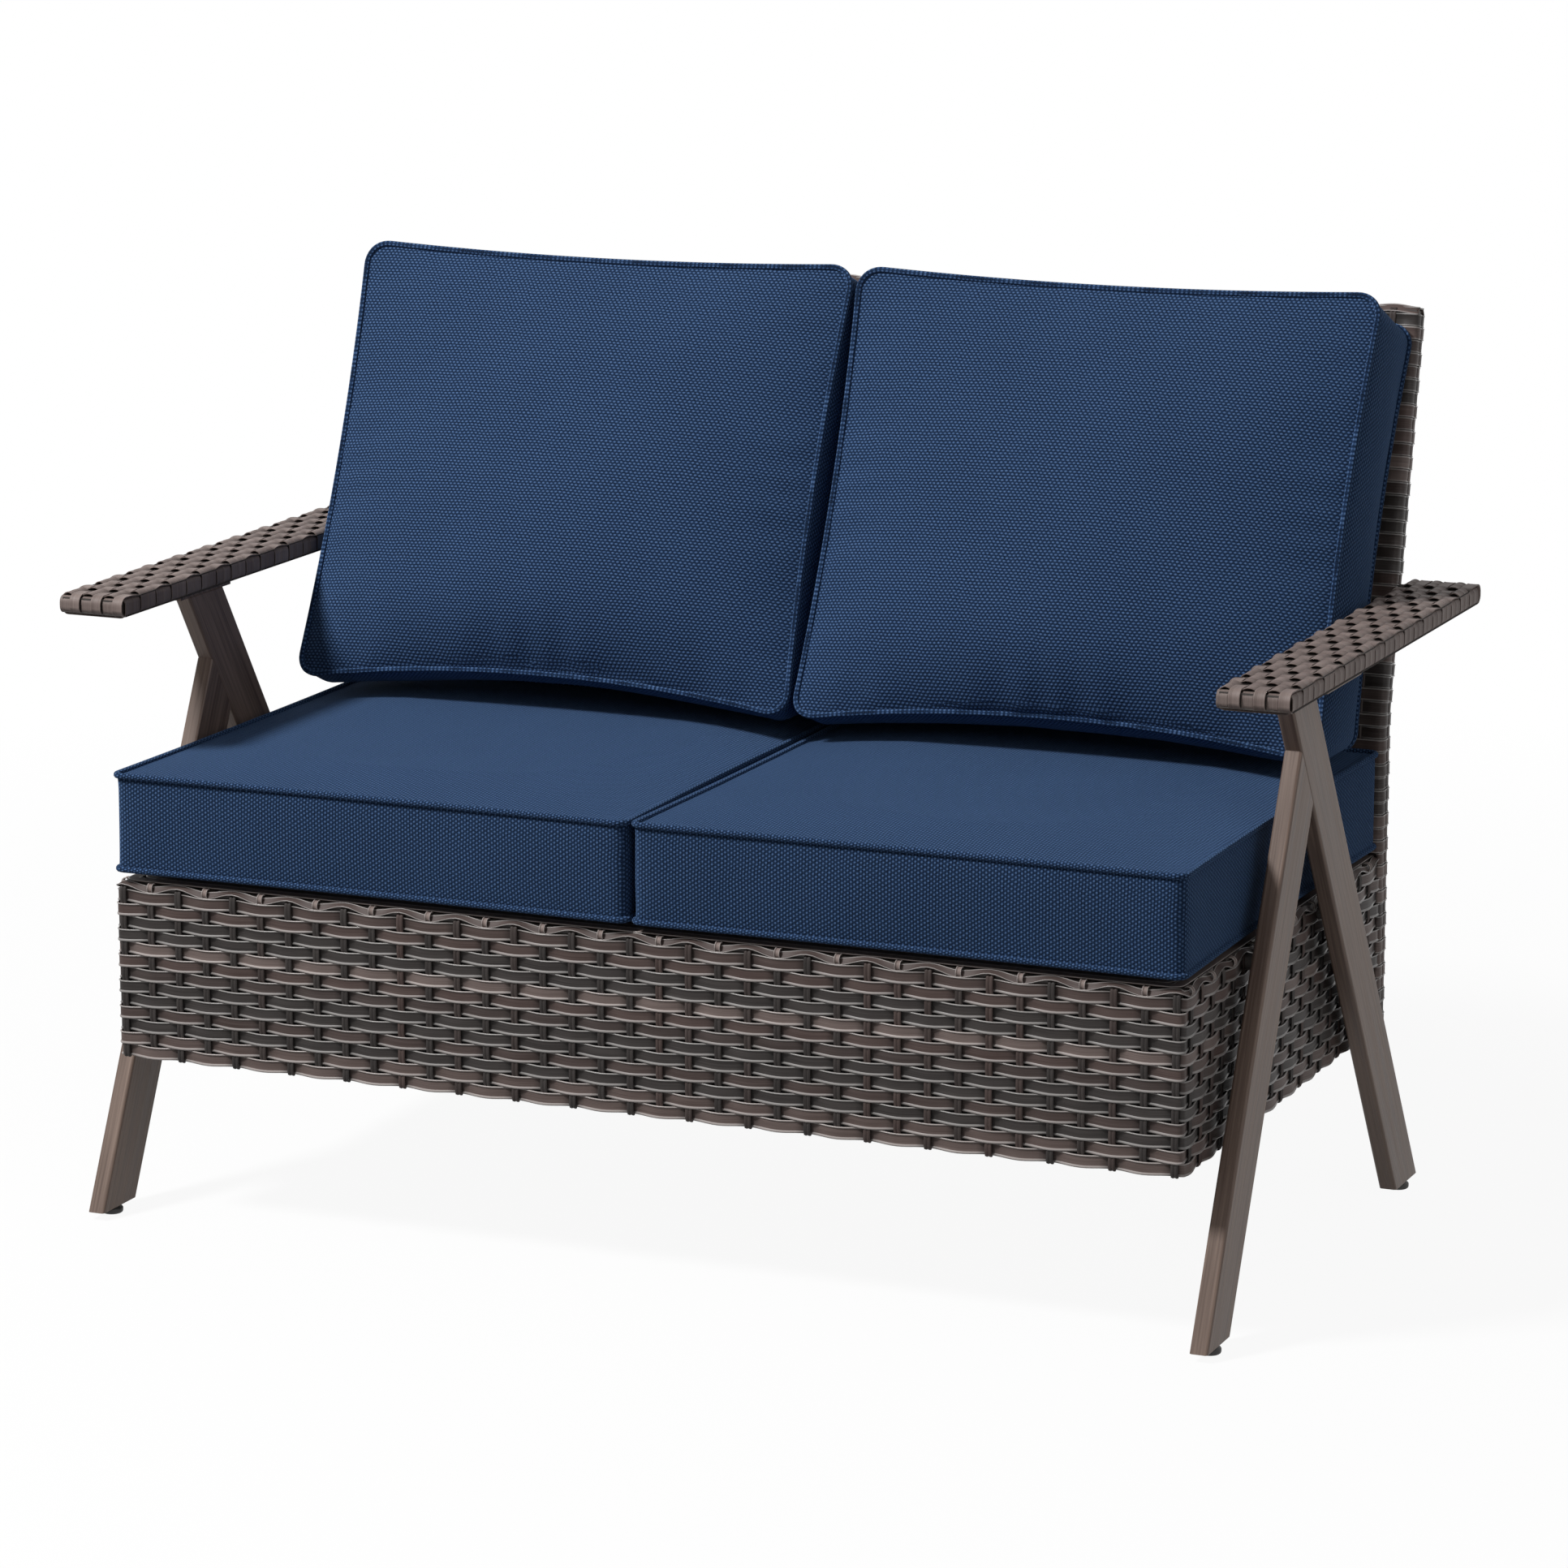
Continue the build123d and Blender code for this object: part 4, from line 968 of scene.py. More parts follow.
class LOVESEAT_OT_arms(bpy.types.Operator):
    """Weave the flat arms: strands along them and wraps across them"""

    bl_idname = "loveseat.arms"
    bl_label = "Weave arms"

    def execute(self, context):
        sizes = context.scene.loveseat_panel
        thickness = context.scene.loveseat_weave.strand_thickness
        under = -(sizes.arm_skin - thickness / 2)
        for side in SIDES:
            low, high = (np.array(corner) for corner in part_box(f"arm_weave_{side}"))
            columns = np.linspace(low[0], high[0], sizes.arm_strands + 1)
            wraps = np.linspace(low[1] + sizes.arm_front, high[1] - sizes.arm_rear, sizes.arm_wraps + 1)
            arm = sizes, (low + high) / 2, high - low, columns, wraps, under, thickness
            woven(self.lengthwise(*arm), f"arm_strands_{side}", f"arm_weave_{side}")
            woven(self.crosswise(*arm), f"arm_wraps_{side}")
        return {"FINISHED"}

    def lengthwise(self, sizes, centre, size, columns, wraps, under, thickness):
        """The strands that run along an arm and round both of its ends."""
        _, run, deep = size
        pitch, gap = columns[1] - columns[0], wraps[1] - wraps[0]
        profile = plain_profile(0.95 * pitch, thickness)
        place, out = self.ring(rounded_way(run, deep, sizes.arm_nose, 6), gap / 18)
        at_end = np.abs(place[:, 0]) > run / 2 - sizes.arm_nose
        strips = Strips()
        for j, left in enumerate(columns[:-1]):
            depth = self.dipping(centre[1] + place[:, 0], wraps, j, under)
            depth = depth + (under - depth) * np.clip(-out[:, 1], 0, 1)
            # Painted shade: the strand darkens where it dips under the wraps, and less round the ends
            painted_shade = painted_shade_of(depth, under, 0.0, most=1.0, power=1.1)
            painted_shade = np.where(at_end, 0.2 * painted_shade, painted_shade)
            y, z = (centre[1:] + place + out * depth[:, None]).T
            line = in_side(y, z, (left + columns[j + 1]) / 2)
            tone = tone_of(j + ARM_STRAND_TONES, low=0.85)
            strips.sweep(line, (1, 0, 0), in_side(*out.T), profile, tone, painted_shade, closed=True)
        return strips

    def crosswise(self, sizes, centre, size, columns, wraps, under, thickness):
        """The pairs of strands wrapped round an arm."""
        width, _, deep = size
        pitch, gap = columns[1] - columns[0], wraps[1] - wraps[0]
        profile = plain_profile(0.46 * gap, thickness)
        place, out = self.ring(rounded_way(width, deep, sizes.arm_edge, 5), pitch / 8)
        at_side = np.abs(place[:, 0]) > width / 2 - sizes.arm_edge
        side_share = np.where(out[:, 1] < 0, 1.0, 1 - np.abs(out[:, 1])) ** 0.5
        facing = in_side(np.zeros(len(out)), out[:, 1], out[:, 0])
        pair = (0.265, 0.735)
        strips = Strips()
        for k in range(sizes.arm_wraps):
            depth = alternate(
                centre[0] + place[:, 0], columns[1:-1], k + 1, under, sizes.arm_swell, flank=0.0050)
            depth = depth - (sizes.arm_side + depth) * side_share
            # Painted shade: a wrap darkens where it dips under the lengthwise strands, and less on the sides
            painted_shade = painted_shade_of(depth, under, sizes.arm_swell, most=0.85)
            painted_shade = np.where(at_side, 0.25 * painted_shade, painted_shade)
            x, z = (centre[::2] + place + out * depth[:, None]).T
            for half, share in enumerate(pair):
                line = in_side(np.full(len(z), wraps[k] + share * gap), z, x)
                tone = tone_of(2 * k + half + ARM_WRAP_TONES, low=0.8)
                strips.sweep(line, (0, 1, 0), facing, profile, tone, painted_shade, closed=True)
        return strips

    @staticmethod
    def dipping(place, wraps, column, under):
        """A lengthwise strand's depth: down at every other pair of wraps, and arched between them."""
        cell = np.clip(np.searchsorted(wraps, place) - 1, 0, len(wraps) - 2)
        share = (place - wraps[cell]) / (wraps[1] - wraps[0])
        share = np.where(cell == 0, np.maximum(share, 0.4), share)
        share = np.where(cell == len(wraps) - 2, np.minimum(share, 0.4), share)
        arched = np.sin(math.pi * np.clip(share / 0.92, 0, 1) ** 0.75)
        return under - under * np.where((cell + column) % 2 == 1, arched, 0.0)

    @staticmethod
    def ring(way, step):
        """Places and outward directions round a closed way, no further apart than a step."""
        distance = np.unique(np.concatenate([np.arange(0, way.end, step), way.run[:-1]]))
        return way.at(distance[distance < way.end - 1e-6])


# Cushions

class Shell:
    """A boxed cushion as one closed mesh: a face, a rear face and a strip between two seams."""

    def __init__(self, width, long, deep, corner, cell):
        x, y = np.meshgrid(*(self.lines(size, corner, cell) for size in (width, long)), indexing="ij")
        nx, ny = x.shape
        self.plan_x, self.plan_y = self.rounded(x, y, width / 2, long / 2, corner)
        self.flat_x, self.flat_y = x / (width / 2), y / (long / 2)
        self.deep = deep
        self.levels = max(3, round(deep / cell))
        self.ring = ([(i, 0) for i in range(nx - 1)] + [(nx - 1, j) for j in range(ny - 1)]
                     + [(i, ny - 1) for i in range(nx - 1, 0, -1)] + [(0, j) for j in range(ny - 1, 0, -1)])
        front = np.arange(nx * ny).reshape(nx, ny)
        rear = front + nx * ny
        round_points = len(self.ring)
        strip = 2 * nx * ny + np.arange((self.levels - 1) * round_points).reshape(-1, round_points)
        seams = [np.array([grid[spot] for spot in self.ring]) for grid in (front, rear)]
        rings = [seams[0], *strip, seams[1]]
        faces = []
        for i in range(nx - 1):
            for j in range(ny - 1):
                faces.append((front[i, j], front[i + 1, j], front[i + 1, j + 1], front[i, j + 1]))
                faces.append((rear[i, j], rear[i, j + 1], rear[i + 1, j + 1], rear[i + 1, j]))
        for upper, lower in zip(rings[:-1], rings[1:]):
            faces.extend(zip(np.roll(upper, -1), upper, lower, np.roll(lower, -1)))
        self.faces = np.array(faces).tolist()
        self.seams = seams

    @staticmethod
    def lines(size, corner, cell):
        """Places of the grid lines across a cushion, closer together at its corners."""
        half = size / 2
        curve = np.linspace(0, corner, max(3, round(corner / (cell * 0.75))) + 1)
        middle = np.linspace(-half + corner, half - corner, max(2, round((size - 2 * corner) / cell)) + 1)
        return np.concatenate([-half + curve[:-1], middle, half - corner + curve[1:]])

    @staticmethod
    def rounded(x, y, half_x, half_y, corner):
        """Pulls the square corners of a grid in to round ones."""
        p = np.clip((np.abs(x) - half_x + corner) / corner, 0, 1)
        q = np.clip((np.abs(y) - half_y + corner) / corner, 0, 1)
        inside = (p > 0) & (q > 0)
        new_p, new_q = p * np.sqrt(1 - q * q / 2), q * np.sqrt(1 - p * p / 2)
        new_x = np.where(inside, np.sign(x) * (half_x - corner + new_p * corner), x)
        new_y = np.where(inside, np.sign(y) * (half_y - corner + new_q * corner), y)
        return new_x, new_y

    def places(self, front_crown, rear_crown, draw_in, puff=0.0):
        """Local places of all the points, centred in plan, with the front seam at z 0."""
        x = self.plan_x - np.sign(self.plan_x) * draw_in * np.abs(self.flat_x) * (1 - self.flat_y ** 2)
        y = self.plan_y - np.sign(self.plan_y) * draw_in * np.abs(self.flat_y) * (1 - self.flat_x ** 2)
        dome = (1 - self.flat_x ** 4) * (1 - self.flat_y ** 4)
        plump = self.bulge(self.flat_x, sag=0.0) * self.bulge(self.flat_y, sag=0.45) if puff else dome
        creases = self.creases() if puff else 0.0
        front = np.stack([x, y, front_crown * plump + creases], -1).reshape(-1, 3)
        rear = np.stack([x, y, -self.deep - rear_crown * dome], -1).reshape(-1, 3)
        out = [front, rear]
        border = np.array([(x[i, j], y[i, j]) for i, j in self.ring])
        flat = np.array([(self.flat_x[i, j], self.flat_y[i, j]) for i, j in self.ring])
        away = np.where(np.abs(flat) > 0.999, np.sign(flat), 0.0) * (1 - flat[:, ::-1] ** 4)
        for level in range(1, self.levels):
            share = level / self.levels
            swell = puff * math.sin(math.pi * share) ** 0.7
            depth = np.full(len(border), -self.deep * share)
            out.append(np.column_stack([border + swell * away, depth]))
        return np.vstack(out)

    def creases(self):
        """Shallow creases that run in from the lower seam and the two sides."""
        height, folds, waver, wavers, reach = 0.045, 29, 2.5, 7, 0.08
        made = 0.0
        for along, beside in ((self.flat_x, 1 + self.flat_y), (self.flat_y, 1 - np.abs(self.flat_x))):
            fold = np.sin(folds * along + waver * np.sin(wavers * along)) * (1 - along ** 4)
            made = made + height * fold * beside * np.exp(-beside / reach)
        return made

    @staticmethod
    def bulge(share, sag):
        """Profile of a plump face from seam to seam, fullest where the filling has sagged to."""
        past = share + sag
        reach = np.abs(past) / np.where(past > 0, 1 + sag, 1 - sag)
        return np.maximum(1 - reach ** 2, 0) ** 0.8


def sewn_cover(name, shell, start):
    """A sewn cover with its seams held, ready to be filled by cloth simulation."""
    mesh = bpy.data.meshes.new(name)
    mesh.from_pydata(start.tolist(), [], shell.faces)
    turn_outward(mesh)
    piece = placed(name, mesh)
    seams = piece.vertex_groups.new(name="seams")
    seams.add([int(v) for ring in shell.seams for v in ring], 1.0, "REPLACE")
    cloth = piece.modifiers.new("fill", "CLOTH")
    settings = cloth.settings
    settings.quality = 6
    settings.mass = 0.25
    settings.tension_stiffness = 12
    settings.compression_stiffness = 12
    settings.shear_stiffness = 6
    settings.bending_stiffness = 0.4
    settings.use_pressure = True
    settings.uniform_pressure_force = 4
    settings.vertex_group_mass = "seams"
    settings.effector_weights.gravity = 0
    cloth.collision_settings.use_self_collision = False
    cloth.collision_settings.use_collision = False
    return piece


def settle(pieces):
    """Steps the cloth of several pieces and returns where their points end."""
    scene = bpy.context.scene
    for step in range(1, CLOTH_STEPS + 1):
        scene.frame_set(step)
    graph = bpy.context.evaluated_depsgraph_get()
    ends = [read(piece.evaluated_get(graph).to_mesh().vertices, "co", 3) for piece in pieces]
    for piece in pieces:
        piece.modifiers.clear()
    scene.frame_set(1)
    return ends


def soft_cap(moved, most):
    """Holds how far each point has moved to a most, with a soft limit."""
    far = np.linalg.norm(moved, axis=1, keepdims=True)
    return moved * np.where(far > 1e-9, most * np.tanh(far / most) / np.maximum(far, 1e-9), 1.0)


def read(parts, name, width=1, kind=float):
    """A property of many mesh parts as an array, with a row for each part where it is wider than 1."""
    values = np.zeros(len(parts) * width, kind)
    parts.foreach_get(name, values)
    return values.reshape(-1, width) if width > 1 else values


def finish_cover(piece, shell, points, keep_clear, material, axes):
    """Sets the settled points, keeps the seams sharp, subdivides once and maps the weave."""
    mesh = piece.data
    mesh.vertices.foreach_set("co", points.ravel())
    seams = [set(ring.tolist()) for ring in shell.seams]
    edges = read(mesh.edges, "vertices", 2, int)
    on_seam = [any(a in seam and b in seam for seam in seams) for a, b in edges]
    crease = mesh.attributes.new("crease_edge", "FLOAT", "EDGE")
    crease.data.foreach_set("value", np.array(on_seam, np.float32))
    smooth = piece.modifiers.new("round", "SUBSURF")
    smooth.levels = 1
    smooth.render_levels = 1
    graph = bpy.context.evaluated_depsgraph_get()
    done = bpy.data.meshes.new_from_object(piece.evaluated_get(graph))
    piece.modifiers.clear()
    piece.data = done
    bpy.data.meshes.remove(mesh)
    done.name = piece.name
    done.vertices.foreach_set("co", keep_clear(read(done.vertices, "co", 3)).ravel())
    done.polygons.foreach_set("use_smooth", [True] * len(done.polygons))
    done.materials.clear()
    done.materials.append(material)
    done.update()
    cloth_map(done, axes)


def cloth_map(mesh, axes):
    """Lays the weave on the cloth in metres, straight along the cushion's own axes."""
    corners = read(mesh.loops, "vertex_index", 1, int)
    places = (read(mesh.vertices, "co", 3) @ axes.T)[corners]
    facing = np.argmax(np.abs(read(mesh.polygons, "normal", 3) @ axes.T), axis=1)
    facing = np.repeat(facing, read(mesh.polygons, "loop_total", 1, int))
    pairs = np.array([(1, 2), (0, 2), (0, 1)])[facing]
    flat = np.take_along_axis(places, pairs, axis=1)
    layer = mesh.uv_layers.new(name=CLOTH_MAP)
    layer.data.foreach_set("uv", flat.astype(np.float32).ravel())


def smooth_ring(points):
    """Rounds a closed row of points by cutting its corners twice."""
    for _ in range(2):
        ahead = np.roll(points, -1, axis=0)
        points = np.stack([0.75 * points + 0.25 * ahead, 0.25 * points + 0.75 * ahead], 1).reshape(-1, 3)
    return points


def piping(name, rings, normal, pushes, radius, fabric):
    """Round piping along closed seams, each pushed a little along the cushion's normal."""
    strips = Strips()
    turn = np.linspace(0, 2 * math.pi, 10, endpoint=False)
    section = np.stack([radius * np.cos(turn), radius * np.sin(turn)], 1)
    lift = 0.0004
    for ring, push in zip(rings, pushes):
        line = smooth_ring(ring)
        along = np.roll(line, -1, axis=0) - np.roll(line, 1, axis=0)
        along /= np.linalg.norm(along, axis=1, keepdims=True)
        outward = np.cross(along, normal)
        if ((line - line.mean(axis=0)) * outward).sum() < 0:
            outward = -outward
        outward /= np.linalg.norm(outward, axis=1, keepdims=True)
        strips.sweep(line + outward * lift + normal * push, normal, outward, section, tone=0.0, closed=True)
    piece = strips.piece(name, fabric)
    layer = piece.data.uv_layers[0]
    layer.name = CLOTH_MAP
    run = read(layer.data, "uv", 2)
    run[:, 1] *= radius * math.pi / 2
    layer.data.foreach_set("uv", run.ravel())
    return piece


def uneven(points, start, most, scale, shell):
    """Adds the slight unevenness of a filled cover, none of it at the seams."""
    apart, finer, fine_share = Vector((3.1, 0.7, 1.9)), 4.3, 0.35
    held = np.ones(len(points))
    for ring in shell.seams:
        held[ring] = 0.0
    shift = np.array([noise.noise(Vector(p) * scale + apart) for p in points])
    fine = np.array([noise.noise(Vector(p) * scale * finer) for p in points])
    out = points - start.mean(axis=0)
    out /= np.maximum(np.linalg.norm(out, axis=1, keepdims=True), 1e-6)
    return points + out * ((shift + fine_share * fine) * most * held)[:, None]


class Cover:
    """A cushion's cover: sewn empty, filled, kept clear of what it rests on and piped.

    Each kind names the bumps of its uneven surface, by their scale, and the pushes of its two rings of
    piping along its normal.
    """

    def __init__(self, side):
        self.side = side
        self.sizes = bpy.context.scene.loveseat_cushions
        self.axes = np.identity(3)
        self.inset = self.sizes.piping + self.sizes.clearance
        self.low, self.high = (np.array(corner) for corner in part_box(f"{self.kind}_cover_{side}"))
        self.shell, self.start = self.laid_out()
        self.piece = sewn_cover(f"{self.kind}_cushion_cover_{side}", self.shell, self.start)

    def filled(self, end):
        """Places of the filled cover's points, from where the simulation took them."""
        points = self.start + soft_cap(end - self.start, self.swell)
        return uneven(points, self.start, self.rough, self.bumps, self.shell)

    def finish(self, points, fabric):
        """Finishes the cover with its points, and lays piping along its two seams."""
        body = f"{self.kind}_cushion_{self.side}"
        finish_cover(self.piece, self.shell, points, self.clear, fabric, self.axes)
        ready(self.piece, body, "cover_fabric",
              f"{self.kind}_cover_{self.side}", f"{self.kind}_foam_{self.side}")
        rings = [points[seam] for seam in self.shell.seams]
        trim = piping(f"{self.kind}_piping_{self.side}", rings, self.axes[2], self.pushes,
                      self.sizes.piping, fabric)
        ready(trim, body, "cover_fabric")


class SeatCover(Cover):
    """A flat seat cushion's cover"""

    kind = "seat"
    bumps = 5.5
    pushes = (0.0008, -0.0004)

    def laid_out(self):
        """The cover's shell, and its points before it is filled."""
        sizes = self.sizes
        self.swell, self.rough = sizes.seat_swell, sizes.seat_rough
        crown = 0.0035
        width, long, _ = self.high - self.low - 2 * self.inset
        self.low[1] += sizes.setback
        seam_low, seam_high = self.low[2] + sizes.foot_rise, self.high[2] - sizes.seam_rise
        shell = Shell(width, long - sizes.setback, seam_high - seam_low, sizes.seat_corner, sizes.cell)
        middle = (self.low + self.high) / 2
        middle[2] = seam_high
        return shell, shell.places(crown, sizes.foot_rise, sizes.draw_in) + middle

    def clear(self, co):
        """Keeps the cushion in its box, but for the crown on its top."""
        most_crown = 0.004
        return np.clip(co, self.low, self.high + (0.0, 0.0, most_crown))


class BackCover(Cover):
    """A plump back cushion's cover, which leans on the panel and stands on the seat"""

    kind = "back"
    bumps = 5.0
    pushes = (0.0006, -0.0004)

    def laid_out(self):
        """The cover's shell, and its points before it is filled."""
        sizes = self.sizes
        self.swell, self.rough = sizes.back_swell, sizes.back_rough
        lean, rear_crown, puff = sizes.back_lean, 0.002, 0.008
        self.panel = PanelLine()
        self.axes[1:] = (0.0, math.sin(lean), math.cos(lean)), (0.0, -math.cos(lean), math.sin(lean))
        width, long = self.high[0] - self.low[0] - 2 * self.inset, sizes.back_height - 2 * self.inset
        shell = Shell(width, long, sizes.back_thickness - 2 * sizes.piping, sizes.back_corner, sizes.cell)
        local = shell.places(sizes.crown, rear_crown, 2 * sizes.draw_in, puff)
        local[:, 1] -= sizes.back_height / 2
        local[:, 2] -= sizes.piping
        top = np.array([(self.low[0] + self.high[0]) / 2,
                        self.high[1] - sizes.back_thickness * math.cos(lean), self.high[2]])
        self.stand(local, top[2] - self.low[2] - sizes.clearance)
        return shell, top + local @ self.axes

    def stand(self, local, height):
        """Shortens the rear of a cushion so that it stands on the seat cushion, and bows its foot."""
        long, half_width, foot, bow = self.sizes.back_height, 0.28, 0.004, 0.018
        reach = -(height - foot + local[:, 2] * self.axes[2, 2]) / self.axes[1, 2]
        floor = np.maximum(-long + self.sizes.piping, reach)
        share = -local[:, 1] / long
        bowed = bow * (1 - (local[:, 0] / half_width) ** 2) * np.clip((share - 0.8) / 0.2, 0, 1)
        local[:, 1] = share * floor + bowed

    def filled(self, end):
        return self.clear(super().filled(end))

    def clear(self, co):
        """Keeps the cushion between its sides, on the seat and in front of the panel."""
        low = (self.low[0], -np.inf, self.low[2])
        high = (self.high[0], np.inf, np.inf)
        co = np.clip(co, low, high)
        wall = np.interp(co[:, 2], self.panel.z, self.panel.y) - self.sizes.clearance
        co[:, 1] = np.minimum(co[:, 1], wall)
        return co


def sew_and_fill(make_cover, fabric):
    """Sews a cover for each side, fills both together and finishes them."""
    covers = [make_cover(side) for side in SIDES]
    ends = settle([cover.piece for cover in covers])
    for cover, end in zip(covers, ends):
        cover.finish(cover.filled(end), fabric)
    return covers


class LOVESEAT_OT_seat_cushions(bpy.types.Operator):
    """Sew and fill the two seat cushions"""

    bl_idname = "loveseat.seat_cushions"
    bl_label = "Sew seat cushions"

    def execute(self, context):
        fabric = cushion_fabric("seat_fabric", cell=(0.00213, 0.0032), turned=True, crest=0.7)
        for cover in sew_and_fill(SeatCover, fabric):
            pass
        return {"FINISHED"}


class LOVESEAT_OT_back_cushions(bpy.types.Operator):
    """Sew and fill the two back cushions"""

    bl_idname = "loveseat.back_cushions"
    bl_label = "Sew back cushions"

    def execute(self, context):
        fabric = cushion_fabric("back_fabric", cell=(0.00233, 0.00305), turned=False, crest=0.5)
        for cover in sew_and_fill(BackCover, fabric):
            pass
        return {"FINISHED"}


# Legs, feet and the steel inside

class LOVESEAT_OT_metalwork(bpy.types.Operator):
    """Finish the legs, the inner steel and the fasteners"""

    bl_idname = "loveseat.metalwork"
    bl_label = "Finish metalwork"

    def execute(self, context):
        c = colours()
        rear = painted("leg_grain_rear", printed_grain,
                       light=c.leg, dark=c.leg_dark, tilt=math.radians(-33.0))
        front = painted("leg_grain_front", printed_grain,
                        light=c.leg, dark=c.leg_dark, tilt=math.radians(25.6))
        paint = painted("frame_paint", speckled,
                        base=c.frame_paint, scale=900.0, metal=0.0, rough=0.5, relief=0.0001)
        zinc = painted("plated_steel", speckled,
                       base=c.zinc, scale=1500.0, metal=0.9, rough=0.38, relief=0.00004)
        finishes = {
            "leg_rear": rear, "leg_front": front, "leg_plate": rear, "foot_plugs": moulded_nylon(),
            "leg_nuts": zinc, "panel_bolts": zinc, "panel_nuts": zinc, "arm_screws": zinc,
        }
        for name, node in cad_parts.items():
            if node.hide_render:
                continue
            finish = next((m for start, m in finishes.items() if name.startswith(start)), paint)
            node.data.materials.clear()
            node.data.materials.append(finish)
        return {"FINISHED"}


class LOVESEAT_OT_glides(bpy.types.Operator):
    """Turn the four round glides under the feet"""

    bl_idname = "loveseat.glides"
    bl_label = "Turn glides"

    def execute(self, context):
        low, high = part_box("foot_glides")
        radius = 0.011
        strips = Strips()
        for x in (low.x + radius, high.x - radius):
            for y in (low.y + radius, high.y - radius):
                self.turn(strips, (x, y, low.z), radius, high.z - low.z)
        piece = strips.piece("foot_glide_pads", moulded_nylon())
        ready(piece, "frame", "glide_plastic", "foot_glides")
        return {"FINISHED"}

    @staticmethod
    def turn(strips, foot, radius, tall):
        """Turns one glide about an upright line, from its outline in shares of radius and height."""
        steps, axle = 40, 0.0002
        outline = [(0.0, 0.0), (0.72, 0.0), (0.86, 0.03), (0.95, 0.12), (1.0, 0.28), (1.0, 0.62),
                   (0.95, 0.74), (0.80, 0.80), (0.80, 1.0), (0.0, 1.0)]
        turn = np.linspace(0, 2 * math.pi, steps, endpoint=False)
        out = np.stack([np.cos(turn), np.sin(turn), np.zeros(steps)], 1)
        profile = [(b * tall, max(a * radius, axle)) for a, b in outline]
        line = np.broadcast_to(np.array(foot, float), (steps, 3))
        strips.sweep(line, (0, 0, 1), out, profile, tone=0.0, closed=True)


# Stage

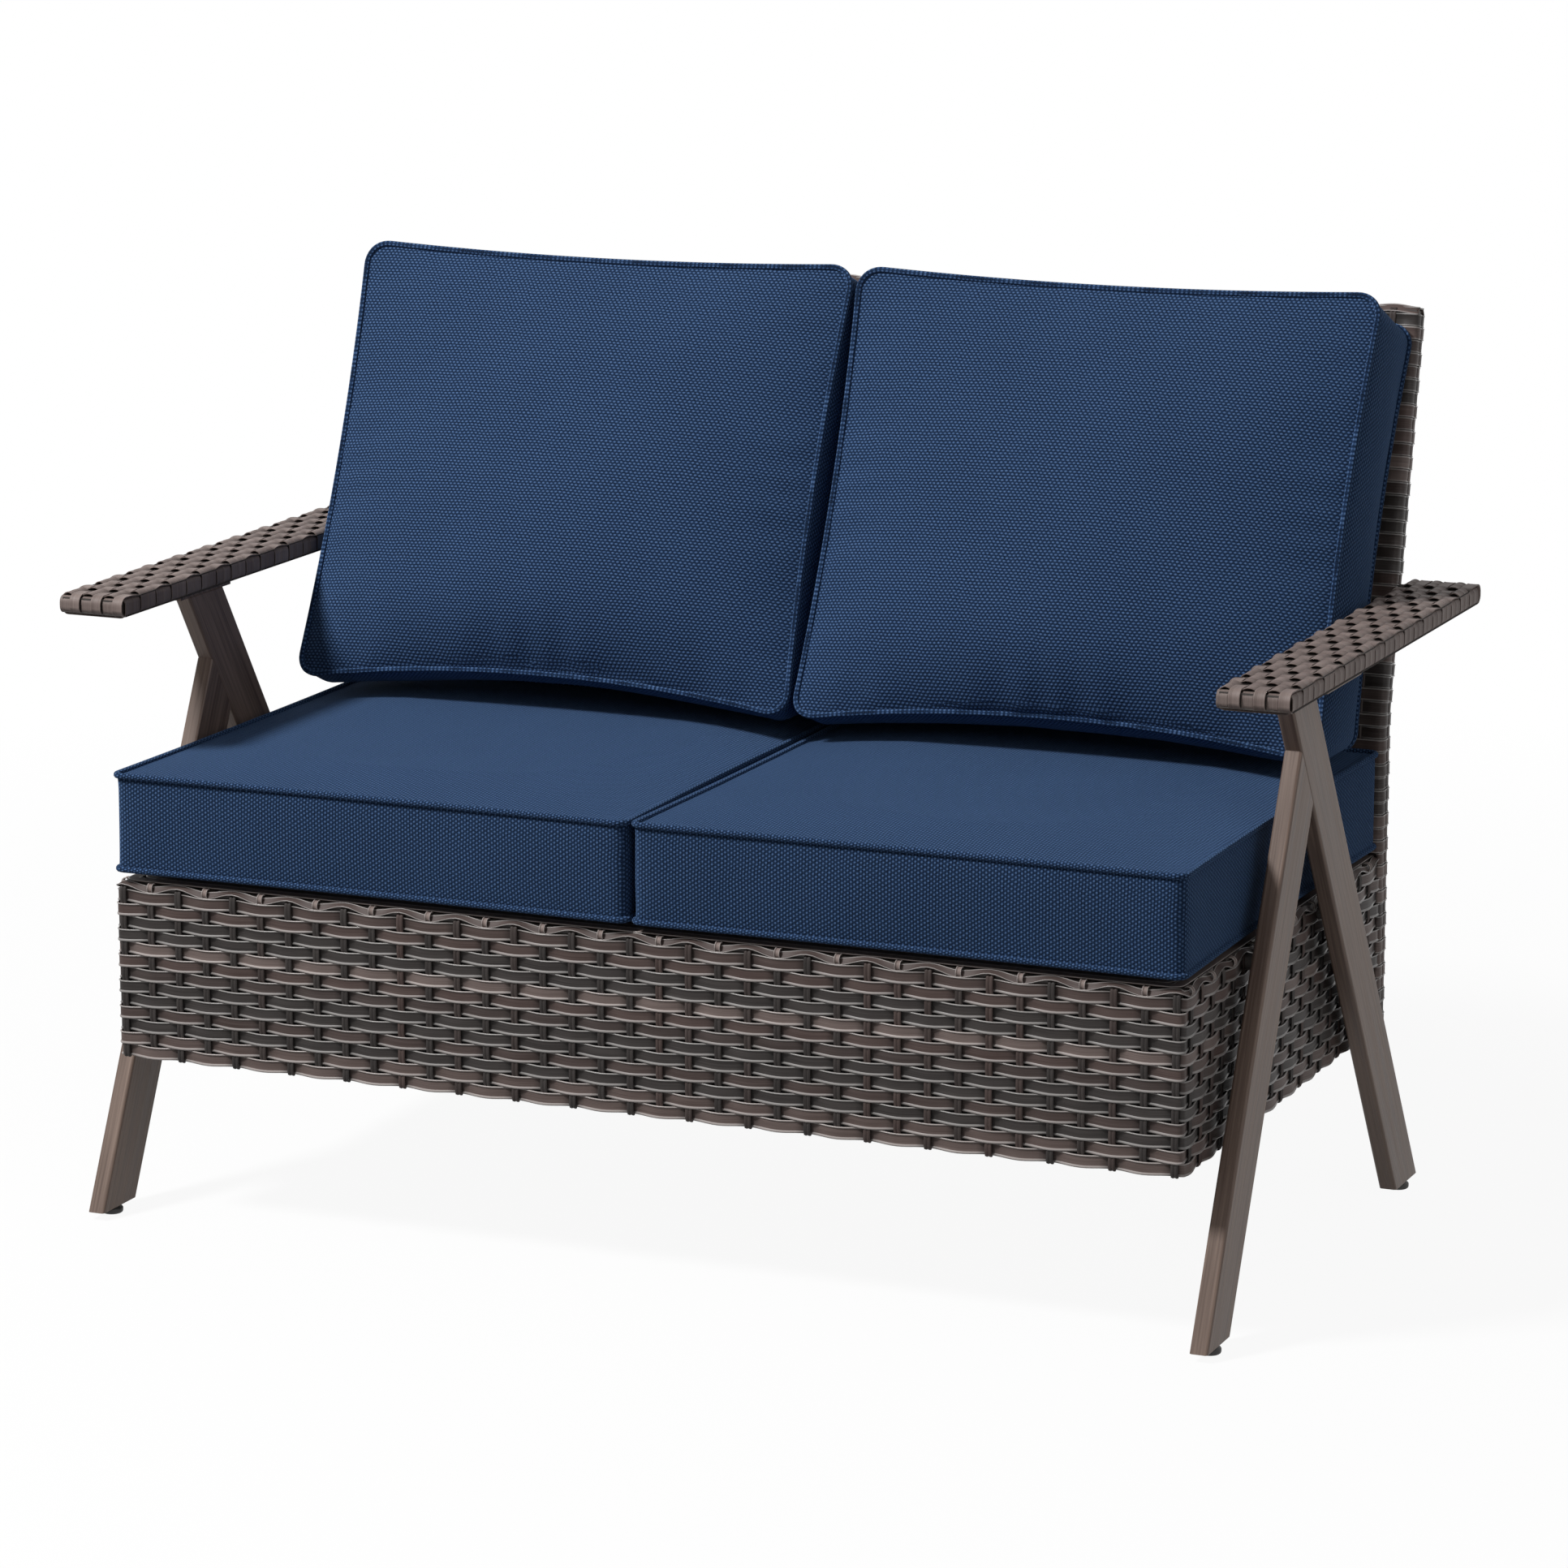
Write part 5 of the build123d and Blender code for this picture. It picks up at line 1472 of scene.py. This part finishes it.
class LOVESEAT_OT_stage(bpy.types.Operator):
    """Set the pale floor, the soft lamps and the camera"""

    bl_idname = "loveseat.stage"
    bl_label = "Set stage"

    def execute(self, context):
        reach = 14.0
        mesh = bpy.data.meshes.new("floor")
        mesh.from_pydata([(-reach, -reach, 0), (reach, -reach, 0), (reach, reach, 0), (-reach, reach, 0)],
                         [], [(0, 1, 2, 3)])
        mesh.materials.append(painted("studio_floor", self.pale_floor))
        placed("floor", mesh)
        self.lamp("key_lamp", (-2.6, -2.9, 4.8), size=1.1, power=330.0)
        self.lamp("fill_lamp", (3.6, -2.2, 2.2), size=4.0, power=24.0)
        self.world(context.scene)
        camera = bpy.data.cameras.new("camera")
        camera.lens = 131.18
        camera.sensor_width = 36.0
        camera.clip_end = 100.0
        holder = self.aimed(
            "camera", camera, place=(2.1992, -5.1261, 1.6436), target=(-0.0385, 0.1202, 0.3958))
        context.scene.camera = holder
        context.scene.view_settings.view_transform = "Standard"
        return {"FINISHED"}

    @staticmethod
    def aimed(name, data, place, target):
        """Puts a lamp or camera at a place, turned to a target."""
        holder = placed(name, data)
        holder.location = place
        aim = Vector(target) - Vector(place)
        holder.rotation_euler = aim.to_track_quat("-Z", "Y").to_euler()
        return holder

    def lamp(self, name, place, size, power):
        """A round soft lamp, turned to the middle of the seat."""
        lamp = bpy.data.lights.new(name, "AREA")
        lamp.shape = "DISK"
        lamp.size = size
        lamp.energy = power
        self.aimed(name, lamp, place, (0.0, 0.0, 0.4))

    @staticmethod
    def seen(tree):
        """One for the eye of the camera, also through glass and in reflections, and zero for light."""
        path = add_node(tree, "ShaderNodeLightPath")
        eye = calc(tree, "MAXIMUM", path.outputs["Is Camera Ray"], path.outputs["Is Transmission Ray"])
        return calc(tree, "MAXIMUM", eye, path.outputs["Is Glossy Ray"])

    def pale_floor(self, tree, shader):
        """Pale floor that takes the shadow near the seat and goes over to plain white further out."""
        shader.inputs["Roughness"].default_value = 0.9
        output = next(n for n in tree.nodes if n.type == "OUTPUT_MATERIAL")
        place = add_node(tree, "ShaderNodeTexCoord").outputs["Object"]
        far = add_node(tree, "ShaderNodeVectorMath", {0: place}, operation="LENGTH").outputs["Value"]
        share = add_node(
            tree, "ShaderNodeMapRange",
            {"Value": far, "From Min": 0.9, "From Max": 2.6, "To Min": 0.93}).outputs[0]
        eye = self.seen(tree)
        in_light = srgb(120, 120, 120)
        tree.links.new(blend_colours(tree, eye, in_light, colours().floor), shader.inputs["Base Color"])
        white = add_node(tree, "ShaderNodeEmission", {"Color": (1, 1, 1, 1), "Strength": 1.0}).outputs[0]
        mix = add_node(tree, "ShaderNodeMixShader", {
            0: calc(tree, "MULTIPLY", share, eye), 1: shader.outputs[0], 2: white})
        tree.links.new(mix.outputs[0], output.inputs[0])

    def world(self, scene):
        """Faint light all round, seen as white by the camera and in reflections."""
        faint = 0.08
        world = bpy.data.worlds.new("studio")
        scene.world = world
        world.use_nodes = True
        tree = world.node_tree
        tree.nodes.clear()
        strength = calc(tree, "MULTIPLY_ADD", self.seen(tree), 1 - faint, faint)
        shader = add_node(tree, "ShaderNodeBackground", {"Color": (1, 1, 1, 1), "Strength": strength})
        output = tree.nodes.new("ShaderNodeOutputWorld")
        tree.links.new(shader.outputs[0], output.inputs[0])


class LOVESEAT_PT_panel(bpy.types.Panel):
    """Lists the steps that dress the loveseat"""

    bl_label = "Patio Loveseat"
    bl_idname = "LOVESEAT_PT_panel"
    bl_space_type = "VIEW_3D"
    bl_region_type = "UI"
    bl_category = "Loveseat"

    def draw(self, context):
        for step in STEPS:
            self.layout.operator(step.bl_idname)
        for group in GROUPS:
            box = self.layout.box()
            owner = getattr(context.scene, group)
            for name in owner.__annotations__:
                box.prop(owner, name)


STEPS = (
    LOVESEAT_OT_stage,
    LOVESEAT_OT_skirt,
    LOVESEAT_OT_back_panel,
    LOVESEAT_OT_arms,
    LOVESEAT_OT_seat_cushions,
    LOVESEAT_OT_back_cushions,
    LOVESEAT_OT_glides,
    LOVESEAT_OT_metalwork,
)
GROUPS = {
    "loveseat_weave": WeaveSizes,
    "loveseat_panel": PanelSizes,
    "loveseat_cushions": CushionSizes,
    "loveseat_finishes": Finishes,
}


def register():
    for group in GROUPS.values():
        bpy.utils.register_class(group)
    for step in STEPS:
        bpy.utils.register_class(step)
    bpy.utils.register_class(LOVESEAT_PT_panel)
    for name, group in GROUPS.items():
        setattr(bpy.types.Scene, name, bpy.props.PointerProperty(type=group))


def unregister():
    for name in GROUPS:
        delattr(bpy.types.Scene, name)
    bpy.utils.unregister_class(LOVESEAT_PT_panel)
    for step in reversed(STEPS):
        bpy.utils.unregister_class(step)
    for group in reversed(list(GROUPS.values())):
        bpy.utils.unregister_class(group)


def main():
    register()
    bpy.ops.loveseat.stage()
    bpy.ops.loveseat.skirt()
    bpy.ops.loveseat.back_panel()
    bpy.ops.loveseat.arms()
    bpy.ops.loveseat.seat_cushions()
    bpy.ops.loveseat.back_cushions()
    bpy.ops.loveseat.glides()
    bpy.ops.loveseat.metalwork()


if __name__ == "__main__":
    main()
